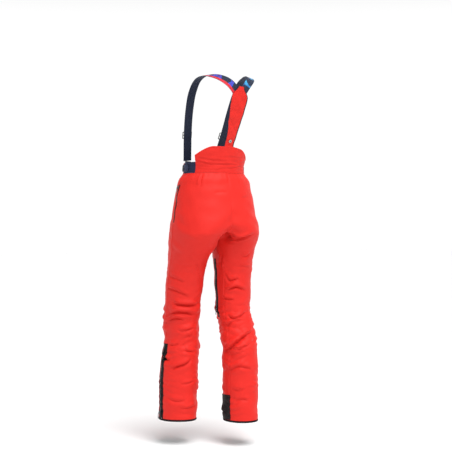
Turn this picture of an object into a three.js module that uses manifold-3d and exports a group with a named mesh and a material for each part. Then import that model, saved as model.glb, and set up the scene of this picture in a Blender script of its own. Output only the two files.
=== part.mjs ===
// Insulated ski pants with a raised back yoke and removable elastic suspenders, shown as worn.
// Millimetres. +Z is up and the wearer faces -Y, so the wearer's left is +X.
// The origin is the middle of the waist, at the height of the waist seam.
import * as THREE from "three";
import { mergeVertices } from "three/addons/utils/BufferGeometryUtils.js";
import Module from "manifold-3d";

const wasm = await Module();
wasm.setup();

// ---------------------------------------------------------------- driving dimensions
const SHELL = 3.0; // shell fabric, insulation and lining, pressed
const GAP = 0.45; // clearance between neighbouring pieces
const BAND_H = 38; // front waistband height
const YOKE_H = 108; // raised back height above the waist seam
const HIP_TOP = -276, HIP_END = -346; // the section that creases when the hip bends
const KNEE_TOP = -588, KNEE_END = -736; // the section that creases when the knee bends
const HEM_Z = -1017, HEM_END = -1025; // shell hem and the binding below it
const CROTCH = -286, CROTCH_SPAN = 284; // the lowest point of the centre seam, and where the cloth stops spanning it
const HIP_AXIS_Z = -240, KNEE_AXIS_Z = -662;
const VENT_S = 0.028, VENT_W = 28; // inner-thigh vent panel: place round the leg, and width
const SIDE_S = 0.482, SIDE_W = 48; // lower-leg side zip panel
const WEB_W = 36, WEB_T = 2.0; // suspender webbing
const FLY_END = -188;
const POCKET_TOP = -46, POCKET_END = -202;

// ---------------------------------------------------------------- body of the garment
const Z = [120, 65, 25, 0, -40, -95, -150, -207, -245, -280, -315, -345, -380, -440, -500, -560, -610, -660, -710, -760, -840, -930, -1025];
const CX = [0, 0, 0, 0, 0, 0, 8, 44, 78, 93.5, 97, 98.5, 99, 100, 100, 100, 100, 100, 100.5, 101, 101.5, 102, 102];
const OUT = [143, 138, 130, 134, 158, 172, 180, 188, 190, 186, 181, 178.5, 176.5, 173, 171.5, 170, 170, 170.5, 172, 173, 173, 172, 170];
const CY0 = [14, 9, 6, 4, 3, 2, 1, 0, -2, -7, -13, -18, -24, -28, -32, -36, -36, -36, -36, -36, -36, -36, -36];
const CYL = [14, 9, 6, 4, 3, 2, 1, 0, -4, -12, -24, -36, -48, -58, -68, -78, -86.3, -90, -91, -93.4, -97.2, -101.5, -106];
const CYR = [14, 9, 6, 4, 3, 2, 1, 0, -1, -2, -3, -4, -5, -5, -5, -5, 12, 33, 44, 49, 51, 51.5, 52];
const BF = [113, 108, 102, 103, 107, 112, 116, 119, 118, 113, 106, 98, 89, 82, 79, 77.5, 77, 78, 78, 78, 80, 81, 82];
const BB = [115, 112, 107, 109, 124, 139, 151, 159, 156, 131, 114, 102, 92, 84, 80, 78, 77, 76, 78, 80, 81, 81, 81];

// Monotone cubic through a table whose heights fall.
function table(values) {
  const x = Z.map((z) => -z), n = x.length, d = [], m = new Array(n);
  for (let i = 0; i < n - 1; i++) d.push((values[i + 1] - values[i]) / (x[i + 1] - x[i]));
  m[0] = d[0];
  m[n - 1] = d[n - 2];
  for (let i = 1; i < n - 1; i++) m[i] = d[i - 1] * d[i] <= 0 ? 0 : (2 * d[i - 1] * d[i]) / (d[i - 1] + d[i]);
  return (z) => {
    const q = Math.min(Math.max(-z, x[0]), x[n - 1]);
    let i = 0;
    while (i < n - 2 && q > x[i + 1]) i++;
    const h = x[i + 1] - x[i], t = (q - x[i]) / h, t2 = t * t, t3 = t2 * t;
    return (2 * t3 - 3 * t2 + 1) * values[i] + (t3 - 2 * t2 + t) * h * m[i] + (-2 * t3 + 3 * t2) * values[i + 1] + (t3 - t2) * h * m[i + 1];
  };
}
const cx = table(CX), out = table(OUT), cy0 = table(CY0), cyl = table(CYL), cyr = table(CYR), bf = table(BF), bb = table(BB);
const smooth = (v) => { const t = Math.min(1, Math.max(0, v)); return t * t * (3 - 2 * t); };

// A point of the garment's outer surface. side is 1 on the left and -1 on the right; s runs from the front centre (or the inseam)
// round the outside to the back centre, 0 to 1, and may run past either end on a leg.
function surf(side, s, z) {
  const c = cx(z), a = out(z) - c, ratio = c / a;
  const t0 = ratio < 1 ? Math.acos(Math.max(0, ratio)) : 0;
  const t = t0 + s * (2 * Math.PI - 2 * t0);
  const x = c - a * Math.cos(t), sn = Math.sin(t);
  // the cloth spans the centre seam instead of following each side down into it
  const span = 28 * smooth((z + CROTCH_SPAN) / 60), xe = x < c ? Math.min(Math.hypot(x, span), c) : x;
  const h = Math.sqrt(Math.max(0, 1 - ((c - xe) / a) ** 2));
  const y = sn > 0 ? -bf(z) * h : bb(z) * h;
  const shift = (side > 0 ? cyl(z) : cyr(z)) - cy0(z);
  const near = smooth(x / 70), below = smooth((-280 - z) / 70);
  // the left leg stands a little wider at its outer side: most below the knee, where its side zip flares
  const flare = side > 0 ? smooth((x - c) / a) * (15 * smooth((-735 - z) / 60) + 6 * Math.exp(-(((z + 500) / 90) ** 2))) : 0;
  return new THREE.Vector3(side * (x + flare), y + cy0(z) + shift * (near + (1 - near) * below) - 0.4 * flare, z);
}
function normal(side, s, z) {
  const e = 0.004, h = 2;
  const u = surf(side, s + e, z).sub(surf(side, s - e, z));
  const v = surf(side, s, z + h).sub(surf(side, s, z - h));
  const n = u.cross(v).normalize();
  return side > 0 ? n : n.negate();
}
const metric = (side, s, z) => surf(side, s + 0.002, z).distanceTo(surf(side, s - 0.002, z)) / 0.004;

// ---------------------------------------------------------------- solid helpers
function geometryOf(points, faces) {
  const g = new THREE.BufferGeometry();
  g.setAttribute("position", new THREE.BufferAttribute(new Float32Array(points.flatMap((p) => [p.x, p.y, p.z])), 3));
  g.setIndex(faces.flat());
  return g;
}
// A closed slab between two grids of points, (rows x columns), wrapped round if closed.
function slab(outer, inner, closed = false) {
  const rows = outer.length, cols = outer[0].length, pts = [...outer.flat(), ...inner.flat()], N = rows * cols, f = [];
  const o = (i, j) => i * cols + (j % cols), q = (i, j) => N + i * cols + (j % cols), last = closed ? cols : cols - 1;
  for (let i = 0; i < rows - 1; i++)
    for (let j = 0; j < last; j++) {
      f.push([o(i, j), o(i + 1, j), o(i + 1, j + 1)], [o(i, j), o(i + 1, j + 1), o(i, j + 1)]);
      f.push([q(i, j), q(i + 1, j + 1), q(i + 1, j)], [q(i, j), q(i, j + 1), q(i + 1, j + 1)]);
    }
  for (let j = 0; j < last; j++) {
    f.push([o(0, j), o(0, j + 1), q(0, j + 1)], [o(0, j), q(0, j + 1), q(0, j)]);
    f.push([o(rows - 1, j), q(rows - 1, j), q(rows - 1, j + 1)], [o(rows - 1, j), q(rows - 1, j + 1), o(rows - 1, j + 1)]);
  }
  if (!closed)
    for (let i = 0; i < rows - 1; i++) {
      f.push([o(i, 0), q(i, 0), q(i + 1, 0)], [o(i, 0), q(i + 1, 0), o(i + 1, 0)]);
      f.push([o(i, cols - 1), q(i + 1, cols - 1), q(i, cols - 1)], [o(i, cols - 1), o(i + 1, cols - 1), q(i + 1, cols - 1)]);
    }
  return outward(geometryOf(pts, f));
}
function volume(g) {
  const p = g.getAttribute("position"), ix = g.index.array;
  let v = 0;
  const a = new THREE.Vector3(), b = new THREE.Vector3(), c = new THREE.Vector3();
  for (let i = 0; i < ix.length; i += 3) {
    a.fromBufferAttribute(p, ix[i]); b.fromBufferAttribute(p, ix[i + 1]); c.fromBufferAttribute(p, ix[i + 2]);
    v += a.dot(b.cross(c)) / 6;
  }
  return v;
}
function outward(g) {
  if (volume(g) < 0) { const ix = g.index.array; for (let i = 0; i < ix.length; i += 3) [ix[i + 1], ix[i + 2]] = [ix[i + 2], ix[i + 1]]; }
  return g;
}
function solid(g) {
  const h = (g.index ? g.toNonIndexed() : g.clone());
  for (const k of Object.keys(h.attributes)) if (k !== "position") h.deleteAttribute(k);
  const m = mergeVertices(h, 1e-3);
  return new wasm.Manifold(new wasm.Mesh({ numProp: 3, vertProperties: m.attributes.position.array, triVerts: new Uint32Array(m.index.array) }));
}
function back(m) {
  const k = m.getMesh(), n = k.numProp, v = new Float32Array(k.numVert * 3);
  for (let i = 0; i < k.numVert; i++) v.set(k.vertProperties.subarray(i * n, i * n + 3), i * 3);
  const g = new THREE.BufferGeometry().setAttribute("position", new THREE.BufferAttribute(v, 3));
  g.setIndex(new THREE.BufferAttribute(k.triVerts, 1));
  return g;
}
const join = (...gs) => back(gs.map(solid).reduce((a, b) => a.add(b)));

// A fabric panel: rows of heights, and the range round the body at each height; lift raises its outer face, thick is its thickness.
function panel(side, rows, s0, s1, cols, { lift = 0, thick = SHELL, seam = GAP / 2, height = null } = {}) {
  const o = [], q = [];
  for (let i = 0; i < rows.length; i++) {
    const a = [], b = [];
    for (let j = 0; j <= cols; j++) {
      const f = j / cols;
      let z = rows[i], s = s0(z) + (s1(z) - s0(z)) * f;
      if (height) z = height(s, i / (rows.length - 1));
      const p = surf(side, s, z), n = normal(side, s, z);
      n.z *= 0.6; n.normalize();
      const up = p.clone().addScaledVector(n, lift), dn = p.clone().addScaledVector(n, lift - thick);
      up.z = dn.z = z;
      for (const v of [up, dn]) if (side * v.x < seam) v.x = side * seam;
      a.push(up); b.push(dn);
    }
    o.push(a); q.push(b);
  }
  return slab(o, q);
}
const span = (z0, z1, n) => Array.from({ length: n + 1 }, (_, i) => z0 + ((z1 - z0) * i) / n);
// A flat band swept along points: each with its outward direction; width across, thickness below the points.
function ribbon(points, normals, width, thick) {
  const o = [], q = [];
  points.forEach((p, i) => {
    const t = points[Math.min(i + 1, points.length - 1)].clone().sub(points[Math.max(i - 1, 0)]).normalize();
    const n = normals[i].clone().addScaledVector(t, -normals[i].dot(t)).normalize();
    const w = new THREE.Vector3().crossVectors(t, n), h = (typeof width === "function" ? width(i / (points.length - 1)) : width) / 2;
    o.push([p.clone().addScaledVector(w, h), p.clone().addScaledVector(w, -h)]);
    q.push([p.clone().addScaledVector(w, h).addScaledVector(n, -thick), p.clone().addScaledVector(w, -h).addScaledVector(n, -thick)]);
  });
  return slab(o, q);
}
// Sets a shape made along x (across), y (outward) and z (up the line) at a point with an outward and an upward direction.
function at(g, p, outDir, upDir) {
  const z = upDir.clone().normalize(), y = outDir.clone().addScaledVector(z, -outDir.dot(z)).normalize(), x = new THREE.Vector3().crossVectors(y, z);
  return g.applyMatrix4(new THREE.Matrix4().makeBasis(x, y, z).setPosition(p));
}
const block = (w, t, h, x = 0, y = 0, z = 0) => new THREE.BoxGeometry(w, t, h).translate(x, y, z);
const disc = (r, t, y = 0, n = 20) => new THREE.CylinderGeometry(r * 0.86, r, t, n).translate(0, y, 0);
function spline(pts, n) {
  const c = new THREE.CatmullRomCurve3(pts.map((p) => new THREE.Vector3(...p)), false, "centripetal");
  return Array.from({ length: n + 1 }, (_, i) => c.getPointAt(i / n));
}

// ---------------------------------------------------------------- materials
const mat = (color, roughness, metalness = 0) => new THREE.MeshStandardMaterial({ color, roughness, metalness });
const RED = mat(0xe8342c, 0.62), RED2 = mat(0xd92c26, 0.66), BLACK = mat(0x151517, 0.8), NAVY = mat(0x14203a, 0.7), MAROON = mat(0x4a0a10, 0.75);
const METAL = mat(0x9a9c9e, 0.35, 0.9), PLASTIC = mat(0x1b1b1d, 0.5), WEB = mat(0x17254a, 0.75);
const root = new THREE.Group();
root.name = "ski_pants";
const bodyOf = {};
function add(name, geometry, material, group = "pelvis") {
  if (!bodyOf[group]) { bodyOf[group] = new THREE.Group(); bodyOf[group].name = group; root.add(bodyOf[group]); }
  const m = new THREE.Mesh(geometry, material);
  m.name = name;
  bodyOf[group].add(m);
  return m;
}

// ---------------------------------------------------------------- trunk
// Height of the upper edge: low in front, high at the back, a little higher on the left.
const edgeAngle = [0, 30, 40, 50, 60, 75, 90, 120, 180], edgeHeight = [108, 103, 94, 82, 69, 54, 45, BAND_H, BAND_H];
function topEdge(phiDeg) {
  const a = Math.abs(phiDeg);
  let i = 0;
  while (i < edgeAngle.length - 2 && a > edgeAngle[i + 1]) i++;
  const t = (a - edgeAngle[i]) / (edgeAngle[i + 1] - edgeAngle[i]);
  return edgeHeight[i] + (edgeHeight[i + 1] - edgeHeight[i]) * t + (a < 100 ? 6 * Math.sin((phiDeg * Math.PI) / 100) * smooth(a / 30) : 0);
}
// The back yoke crosses the back centre, so it runs in angle from the back centre, positive to the left.
{
  const cols = 30, rows = 4, reach = 62, o = [], q = [];
  for (let i = 0; i <= rows; i++) {
    const a = [], b = [];
    for (let j = 0; j <= cols; j++) {
      const phi = reach - (2 * reach * j) / cols, side = phi >= 0 ? 1 : -1, z0 = GAP, z1 = topEdge(phi), z = z1 + ((z0 - z1) * i) / rows;
      const s = 1 - Math.abs(phi) / 180, p = surf(side, s, z), n = normal(side, Math.min(s, 0.995), z);
      if (Math.abs(phi) < 1e-6) { p.x = 0; n.set(0, 1, 0); }
      n.z = 0; n.normalize();
      a.push(p.clone()); b.push(p.clone().addScaledVector(n, -SHELL));
    }
    o.push(a); q.push(b);
  }
  add("back_yoke", slab(o, q), RED);
}
for (const side of [1, -1]) {
  const L = side > 0 ? "left" : "right";
  const e0 = 0.425, e1 = 1 - 62 / 180;
  const h = (s, k) => { const phi = side * (1 - s) * 180, top = Math.abs(phi) > 118 ? BAND_H : Math.min(topEdge(phi), BAND_H + 7); return top + (GAP - top) * k; };
  const g = (z) => GAP / metric(side, 0.5, z);
  add("waistband_" + L, panel(side, [1, 2, 3], () => 0.002, () => e0 - g(0), 10, { seam: GAP, height: h }), RED);
  add("side_elastic_" + L, panel(side, [1, 2, 3], () => e0 + g(0), () => e1 - 2 * g(0), 7, { thick: 2.4, height: h }), NAVY);
  // front and back panels of the hips; the fly and the side pockets are left open between them
  const rows = [-GAP, -24, POCKET_TOP, POCKET_TOP - 1, -70, -110, -150, FLY_END + 1, FLY_END - 1, POCKET_END, POCKET_END - 1, -240, HIP_TOP + GAP];
  const fly = (z) => (z > FLY_END ? 5.2 / metric(side, 0.01, z) : GAP / metric(side, 0.01, z));
  const pocket = (z, at) => (z <= POCKET_TOP - 1 + 0.01 && z > POCKET_END - 0.01 ? 5.0 : GAP / 2) / metric(side, at, z);
  add(L + "_front_panel", panel(side, rows, fly, (z) => 0.5 - pocket(z, 0.49), 9), RED);
  add(L + "_back_panel", panel(side, rows, (z) => 0.5 + pocket(z, 0.51), () => 1, 9), RED);
  // pocket zip
  const zp = span(POCKET_TOP - 2, POCKET_END + 1, 8);
  add(L + "_pocket_zip_chain", ribbon(zp.map((z) => surf(side, 0.5, z)), zp.map(() => new THREE.Vector3(side, 0, 0)), 8.6, 3), BLACK);
  const pa = surf(side, 0.5, POCKET_TOP - 10), pb = surf(side, 0.5, POCKET_END + 12), up = pa.clone().sub(pb).normalize();
  const body = join(block(9, 4.4, 13, 0, 3.0, 0), block(4, 2, 26, 0, 6.6, -11), block(4, 3, 5, 0, 5.2, -1));
  add(L + "_pocket_zip_slider", at(body, pa.clone().setX(pa.x + side * 2.8).setZ(pa.z - 2), new THREE.Vector3(side, 0, 0), up), METAL, L + "_pocket_slider");
}
// The section that creases at the hips: both legs' tops and the crotch, in one piece.
{
  const cols = 26;
  const grid = (side, rows, n) => rows.map((z) => Array.from({ length: n + 1 }, (_, j) => {
    const s = j / n, p = surf(side, s, z), d = normal(side, Math.min(0.996, Math.max(0.004, s)), z);
    d.z = 0; d.normalize();
    const q = p.clone().addScaledVector(d, -SHELL);
    return [p, q];
  }));
  const half = (side) => {
    const g = grid(side, span(HIP_TOP - GAP, CROTCH, 2), cols);
    for (const row of g) for (const [p, q] of row) { if (side * p.x < 0.5) p.x = -side * 0.6; if (side * q.x < 0.5) q.x = -side * 0.6; }
    return slab(g.map((r) => r.map((c) => c[0])), g.map((r) => r.map((c) => c[1])));
  };
  const sleeve = (side) => {
    const g = grid(side, [CROTCH + 0.6, -296, -308, -326, HIP_END + GAP], cols).map((r) => r.slice(0, cols + (r[cols][0].distanceTo(r[0][0]) > 1 ? 1 : 0)));
    for (const row of g) while (row.length < cols + 1) row.push([row[0][0].clone(), row[0][1].clone()]);
    for (const row of g) {
      const d = row[0][0].distanceTo(row[cols][0]);
      if (d < 1) { row[cols][0] = row[0][0].clone().lerp(row[cols - 1][0], 0.08); row[cols][1] = row[0][1].clone().lerp(row[cols - 1][1], 0.08); }
      for (const [p, q] of row) { if (side * p.x < 0.5) p.x = -side * 0.6; if (side * q.x < SHELL) q.x = side * SHELL; }
    }
    return slab(g.map((r) => r.map((c) => c[0])), g.map((r) => r.map((c) => c[1])), true);
  };
  add("seat_section", join(half(1), half(-1), sleeve(1), sleeve(-1)), RED);
}
// Fly zip, in the gap between the front panels.
const flyA = surf(1, 0, -4), flyB = surf(1, 0, FLY_END + 3);
{
  const zs = span(-1.2, FLY_END + 1.6, 10);
  add("fly_zip_chain", ribbon(zs.map((z) => { const p = surf(1, 0, z); p.x = 0; return p; }), zs.map(() => new THREE.Vector3(0, -1, 0)), 8.8, 3), BLACK);
}
const frontDir = new THREE.Vector3(0, -1, 0), flyUp = flyA.clone().sub(flyB).setX(0).normalize();
const flyAt = new THREE.Vector3(0, flyA.y - 1.2, -10);
add("fly_zip_slider", at(join(block(9.5, 4.6, 13, 0, 3.2, 0), block(2, 5, 7, 3.6, 6.0, -1), block(2, 5, 7, -3.6, 6.0, -1)), flyAt.clone(), frontDir, flyUp), METAL, "fly_slider");
add("fly_zip_pull", at(join(block(4.2, 1.8, 30, 0, 7.4, -13.5), new THREE.CylinderGeometry(1.4, 1.4, 4.2, 12).rotateZ(Math.PI / 2).translate(0, 7.2, 0.5)), flyAt.clone(), frontDir, flyUp), METAL, "fly_pull");
// Waist closure: a tab that hinges from the left, with one press stud.
{
  const y = (x, z) => cy0(z) - bf(z) * Math.sqrt(1 - (x / out(z)) ** 2);
  const tab = (x0, x1, z0, z1, lift, thick, cols) => {
    const o = [], q = [];
    for (const z of [z1, (z0 + z1) / 2, z0]) {
      const a = [], b = [];
      for (let j = 0; j <= cols; j++) { const x = x0 + ((x1 - x0) * j) / cols; a.push(new THREE.Vector3(x, y(x, 20) - lift, z)); b.push(new THREE.Vector3(x, y(x, 20) - lift + thick, z)); }
      o.push(a); q.push(b);
    }
    return slab(o, q);
  };
  add("closure_tab", tab(-40, 30, 3, BAND_H - 3, 5.6, 2.6, 8), RED2, "closure_tab");
  const c = new THREE.Vector3(-26, y(-26, 20), 20), n = new THREE.Vector3(-0.16, -1, 0).normalize();
  add("closure_snap_post", at(disc(5.5, 1.6, 0, 16), c.clone().addScaledVector(n, 1.6), n, new THREE.Vector3(0, 0, 1)), METAL);
  add("closure_snap_cap", at(disc(7, 2.2, 0, 20), c.clone().addScaledVector(n, 7.0), n, new THREE.Vector3(0, 0, 1)), METAL, "closure_tab");
}
// Waist adjusters: a flat hook-and-loop tab at each side that slides forward along the band.
for (const side of [1, -1]) {
  const L = side > 0 ? "left" : "right", lo = surf(side, 0.5, 5), hi = surf(side, 0.5, 35);
  add("adjuster_tab_" + L, at(join(block(46, 2.2, 30, 0, 1.6, 0), block(10, 2.4, 22, side * 16, 3.6, 0)), lo.clone().lerp(hi, 0.5).add(new THREE.Vector3(side * 0.9, -1, 0)), new THREE.Vector3(side, 0, 0), hi.sub(lo)), NAVY, "adjuster_" + L);
}
// Hanger loop inside the back yoke.
{
  const yb = surf(1, 1, 70).y - SHELL;
  const pts = spline([[-30, yb - 3, 80], [-26, yb - 8, 93], [-10, yb - 12, 99], [10, yb - 12, 99], [26, yb - 8, 93], [30, yb - 3, 80]], 14);
  add("hanger_loop", ribbon(pts, pts.map(() => new THREE.Vector3(0, 1, 0.15)), 5, 1.6), BLACK);
}

// ---------------------------------------------------------------- suspenders
const backPath = [[-2, 123.6, 112.4], [-3, 127.5, 124], [-6, 138, 150], [-10, 154, 205], [-15, 170, 262], [-20, 181, 312], [-24, 186, 346]];
const strapW = (f) => 36 + 34 * smooth(f / 0.84) - 48 * smooth((f - 0.82) / 0.18);
{
  const pts = spline(backPath, 22), n = pts.map((p, i) => { const t = pts[Math.min(i + 1, 22)].clone().sub(pts[Math.max(i - 1, 0)]); return new THREE.Vector3(0, t.z, -t.y).normalize(); });
  add("back_strap", ribbon(pts, n, strapW, 3), RED, "suspenders");
  const i = pts.findIndex((p) => p.z > 125), dir = n[i].clone(), t = pts[i + 1].clone().sub(pts[i - 1]);
  add("back_snap_cap", at(disc(7, 2.4, 1.6, 24), pts[i].clone(), dir, t), METAL, "suspenders");
}
{
  const pts = [40, 62, 85, 109.6].map((z) => new THREE.Vector3(-1, surf(1, 1, z).y - SHELL - 2.2, z));
  add("back_anchor_tab", ribbon(pts, pts.map(() => new THREE.Vector3(0, 1, 0)), 34, 2.4), BLACK);
}
const webs = {
  left: [[-12, 176.0, 316], [4, 179, 337], [24, 172, 360], [48, 151, 380], [70, 116, 393], [84, 74, 396], [92, 30, 380], [95, -8, 334], [93, -36, 268], [88, -58, 190], [78, -80, 112], [71, -93.2, 58]],
  right: [[-33, 173.0, 316], [-46, 175.0, 337], [-64, 170, 360], [-88, 152, 382], [-106, 116, 395], [-116, 74, 398], [-118, 30, 384], [-115, -8, 338], [-107, -36, 270], [-95, -58, 190], [-81, -80, 112], [-71, -93.2, 58]],
};
const outDirs = [[0, 0.97, -0.2], [0, 1, 0.05], [0, 0.9, 0.5], [0, 0.7, 0.75], [0, 0.35, 0.95], [0, 0, 1], [0, -0.55, 0.85], [0, -0.9, 0.45], [0, -0.96, 0.28], [0, -0.95, 0.3], [0, -0.94, 0.33], [0, -0.94, 0.33]];
for (const L of ["left", "right"]) {
  const side = L === "left" ? 1 : -1, N = 34, pts = spline(webs[L], N);
  const curve = new THREE.CatmullRomCurve3(outDirs.map((v) => new THREE.Vector3(...v)));
  const nn = pts.map((_, i) => curve.getPoint(i / N).normalize());
  add("shoulder_strap_" + L, ribbon(pts, nn, WEB_W, WEB_T), WEB, "suspenders");
  const a = new THREE.Vector3(...webs[L][8]), b = new THREE.Vector3(...webs[L][10]), m = new THREE.Vector3(...webs[L][9]);
  const d = a.clone().sub(b).normalize(), n0 = new THREE.Vector3(0, -d.z, d.y).normalize();
  // a three-bar slider round the webbing, with a cover and an open back
  const bar = (z) => block(44, 2.4, 3.4, 0, 4.6, z);
  add("strap_slider_" + L, at(join(bar(13), bar(0), bar(-13), block(3.4, 2.4, 29.4, 20.3, 4.6, 0), block(3.4, 2.4, 29.4, -20.3, 4.6, 0)), m.clone().lerp(b, 0.35), n0, d), PLASTIC, "strap_slider_" + L);
  const down = new THREE.Vector3(0, 0, 1), top = new THREE.Vector3(side * 83, -114.2, 56);
  // the end tab lies against the waistband, square to its surface, and snaps onto a stud
  const X = 68, y0 = cy0(22) - bf(22) * Math.sqrt(1 - (X / out(22)) ** 2), nb = new THREE.Vector3(side * X / out(22) ** 2, (y0 - cy0(22)) / bf(22) ** 2, 0).normalize();
  const foot = new THREE.Vector3(side * X, y0, 0), zUp = new THREE.Vector3(0, 0, 1), put = (d, z) => foot.clone().addScaledVector(nb, d).setZ(z);
  add("strap_end_" + L, at(block(40, 3, 44, 0, 0, 0), put(5.2, 34), nb, zUp), PLASTIC, "strap_end_" + L);
  add("snap_cap_" + L, at(disc(7, 2.2, 0, 20), put(8.2, 22), nb, zUp), METAL, "strap_end_" + L);
  add("front_anchor_" + L, at(disc(6, 1.8, 0, 16), put(2.4, 22), nb, zUp), METAL);
}

// ---------------------------------------------------------------- legs
for (const side of [1, -1]) {
  const L = side > 0 ? "left" : "right", thigh = L + "_thigh", shank = L + "_shank";
  const v0 = (z) => VENT_S - VENT_W / 2 / metric(side, VENT_S, z), v1 = (z) => VENT_S + VENT_W / 2 / metric(side, VENT_S, z), gz = (z) => GAP / metric(side, 0.5, z);
  const tr = [HIP_END, -368, -395, -440, -490, -540, KNEE_TOP + GAP];
  add(L + "_thigh_front", panel(side, tr, (z) => v1(z) + gz(z), (z) => 0.5 - gz(z) / 2, 10), RED, thigh);
  add(L + "_thigh_back", panel(side, tr, (z) => 0.5 + gz(z) / 2, (z) => 1 + v0(z) - gz(z), 13), RED, thigh);
  add(L + "_vent_zip_panel", panel(side, tr, v0, v1, 3), BLACK, thigh);
  {
    const a = surf(side, VENT_S, HIP_END - 22), b = surf(side, VENT_S, KNEE_TOP + 22), n = normal(side, VENT_S, -470), up = a.clone().sub(b).normalize();
    const body = join(block(8.5, 4.2, 12, 0, 4.0, 0), block(4, 1.8, 24, 0, 7.2, -10), block(4, 2.6, 4, 0, 6.2, -1));
    add(L + "_vent_zip_slider", at(body, b.clone().addScaledVector(n, 0.4), n, up), METAL, L + "_vent_slider");
  }
  // the section that creases at the knee, one sleeve
  {
    const o = [], q = [], cols = 26;
    for (const z of span(KNEE_TOP - GAP, KNEE_END + GAP, 5)) {
      const a = [], b = [];
      for (let j = 0; j < cols; j++) { const s = j / cols, p = surf(side, s, z), n = normal(side, s, z); n.z = 0; n.normalize(); a.push(p); b.push(p.clone().addScaledVector(n, -SHELL)); }
      o.push(a); q.push(b);
    }
    add(L + "_knee_section", slab(o, q, true), RED, thigh);
  }
  const w0 = (z) => SIDE_S - SIDE_W / 2 / metric(side, SIDE_S, z), w1 = (z) => SIDE_S + SIDE_W / 2 / metric(side, SIDE_S, z);
  const sr = [KNEE_END, -760, -800, -850, -900, -960, HEM_Z + GAP];
  add(L + "_shank_front", panel(side, sr, (z) => 0.0, (z) => w0(z) - gz(z), 10), RED, shank);
  add(L + "_shank_back", panel(side, sr, (z) => w1(z) + gz(z), (z) => 1 - gz(z), 10), RED, shank);
  add(L + "_side_zip_panel", panel(side, sr, w0, w1, 3), BLACK, shank);
  {
    const a = surf(side, SIDE_S, KNEE_END - 70), b = surf(side, SIDE_S, HEM_Z + 24), n = normal(side, SIDE_S, -880), up = a.clone().sub(b).normalize();
    const body = join(block(9, 4.4, 13, 0, 4.2, 0), block(4.2, 2, 28, 0, 7.6, -12), block(4, 2.6, 4, 0, 6.6, -1));
    add(L + "_side_zip_slider", at(body, b.clone().addScaledVector(n, 0.6), n, up), METAL, L + "_side_slider");
  }
  // scuff guard over the inside of the hem
  add(L + "_scuff_guard", panel(side, [-912, -950, -985, HEM_Z + 1], () => -0.05, () => 0.17, 6, { lift: 2.7, thick: 1.7 }), BLACK, shank);
  // hem binding and the snow gaiter inside
  const ring = (rows, lift, thick, cols) => {
    const o = [], q = [];
    for (const z of rows) {
      const a = [], b = [];
      for (let j = 0; j < cols; j++) { const s = j / cols, p = surf(side, s, z), n = normal(side, s, z); n.z = 0; n.normalize(); a.push(p.clone().addScaledVector(n, lift).setZ(z)); b.push(p.clone().addScaledVector(n, lift - thick).setZ(z)); }
      o.push(a); q.push(b);
    }
    return slab(o, q, true);
  };
  add(L + "_hem_band", ring([HEM_Z, HEM_END], 0.8, 5.4, 28), BLACK, shank);
  add(L + "_gaiter", ring([-862, -915, -968, HEM_END + 2], -9, 1.8, 20), BLACK, shank);
}

export default root;
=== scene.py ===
import math

import bpy
import numpy as np
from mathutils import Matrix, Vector


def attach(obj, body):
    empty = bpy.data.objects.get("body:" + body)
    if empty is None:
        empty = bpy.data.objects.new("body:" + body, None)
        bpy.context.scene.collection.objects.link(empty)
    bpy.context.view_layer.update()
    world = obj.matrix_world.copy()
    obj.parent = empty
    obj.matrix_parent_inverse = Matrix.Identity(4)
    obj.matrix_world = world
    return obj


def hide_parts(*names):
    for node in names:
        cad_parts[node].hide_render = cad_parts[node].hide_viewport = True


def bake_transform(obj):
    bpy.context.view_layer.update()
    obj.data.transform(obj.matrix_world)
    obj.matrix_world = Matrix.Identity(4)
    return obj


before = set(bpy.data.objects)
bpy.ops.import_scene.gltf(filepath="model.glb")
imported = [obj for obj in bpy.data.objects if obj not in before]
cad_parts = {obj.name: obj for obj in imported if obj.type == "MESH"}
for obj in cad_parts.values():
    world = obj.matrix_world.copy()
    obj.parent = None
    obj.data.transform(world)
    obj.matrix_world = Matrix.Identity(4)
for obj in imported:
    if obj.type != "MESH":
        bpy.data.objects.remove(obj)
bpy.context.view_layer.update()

# ------------------------------------------------------------------ the garment's surface (mm), the same tables as the CAD source
Zt = np.array([120, 65, 25, 0, -40, -95, -150, -207, -245, -280, -315, -345, -380, -440, -500, -560, -610, -660, -710, -760, -840, -930, -1025], float)
TABLES = dict(
    CX=[0, 0, 0, 0, 0, 0, 8, 44, 78, 93.5, 97, 98.5, 99, 100, 100, 100, 100, 100, 100.5, 101, 101.5, 102, 102],
    OUT=[143, 138, 130, 134, 158, 172, 180, 188, 190, 186, 181, 178.5, 176.5, 173, 171.5, 170, 170, 170.5, 172, 173, 173, 172, 170],
    CY0=[14, 9, 6, 4, 3, 2, 1, 0, -2, -7, -13, -18, -24, -28, -32, -36, -36, -36, -36, -36, -36, -36, -36],
    CYL=[14, 9, 6, 4, 3, 2, 1, 0, -4, -12, -24, -36, -48, -58, -68, -78, -86.3, -90, -91, -93.4, -97.2, -101.5, -106],
    CYR=[14, 9, 6, 4, 3, 2, 1, 0, -1, -2, -3, -4, -5, -5, -5, -5, 12, 33, 44, 49, 51, 51.5, 52],
    BF=[113, 108, 102, 103, 107, 112, 116, 119, 118, 113, 106, 98, 89, 82, 79, 77.5, 77, 78, 78, 78, 80, 81, 82],
    BB=[115, 112, 107, 109, 124, 139, 151, 159, 156, 131, 114, 102, 92, 84, 80, 78, 77, 76, 78, 80, 81, 81, 81],
)
SHELL, GAP, BAND_H = 3.0, 0.45, 38.0
VENT_S, VENT_W, SIDE_S, SIDE_W = 0.028, 28.0, 0.482, 48.0
SPLIT, HEM_Z, HEM_END = -470.0, -1017.0, -1025.0
VENT_TOP, VENT_END, SIDE_TOP = -352.0, -598.0, -704.0
FLY_END, POCKET_TOP, POCKET_END = -188.0, -46.0, -202.0


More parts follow.
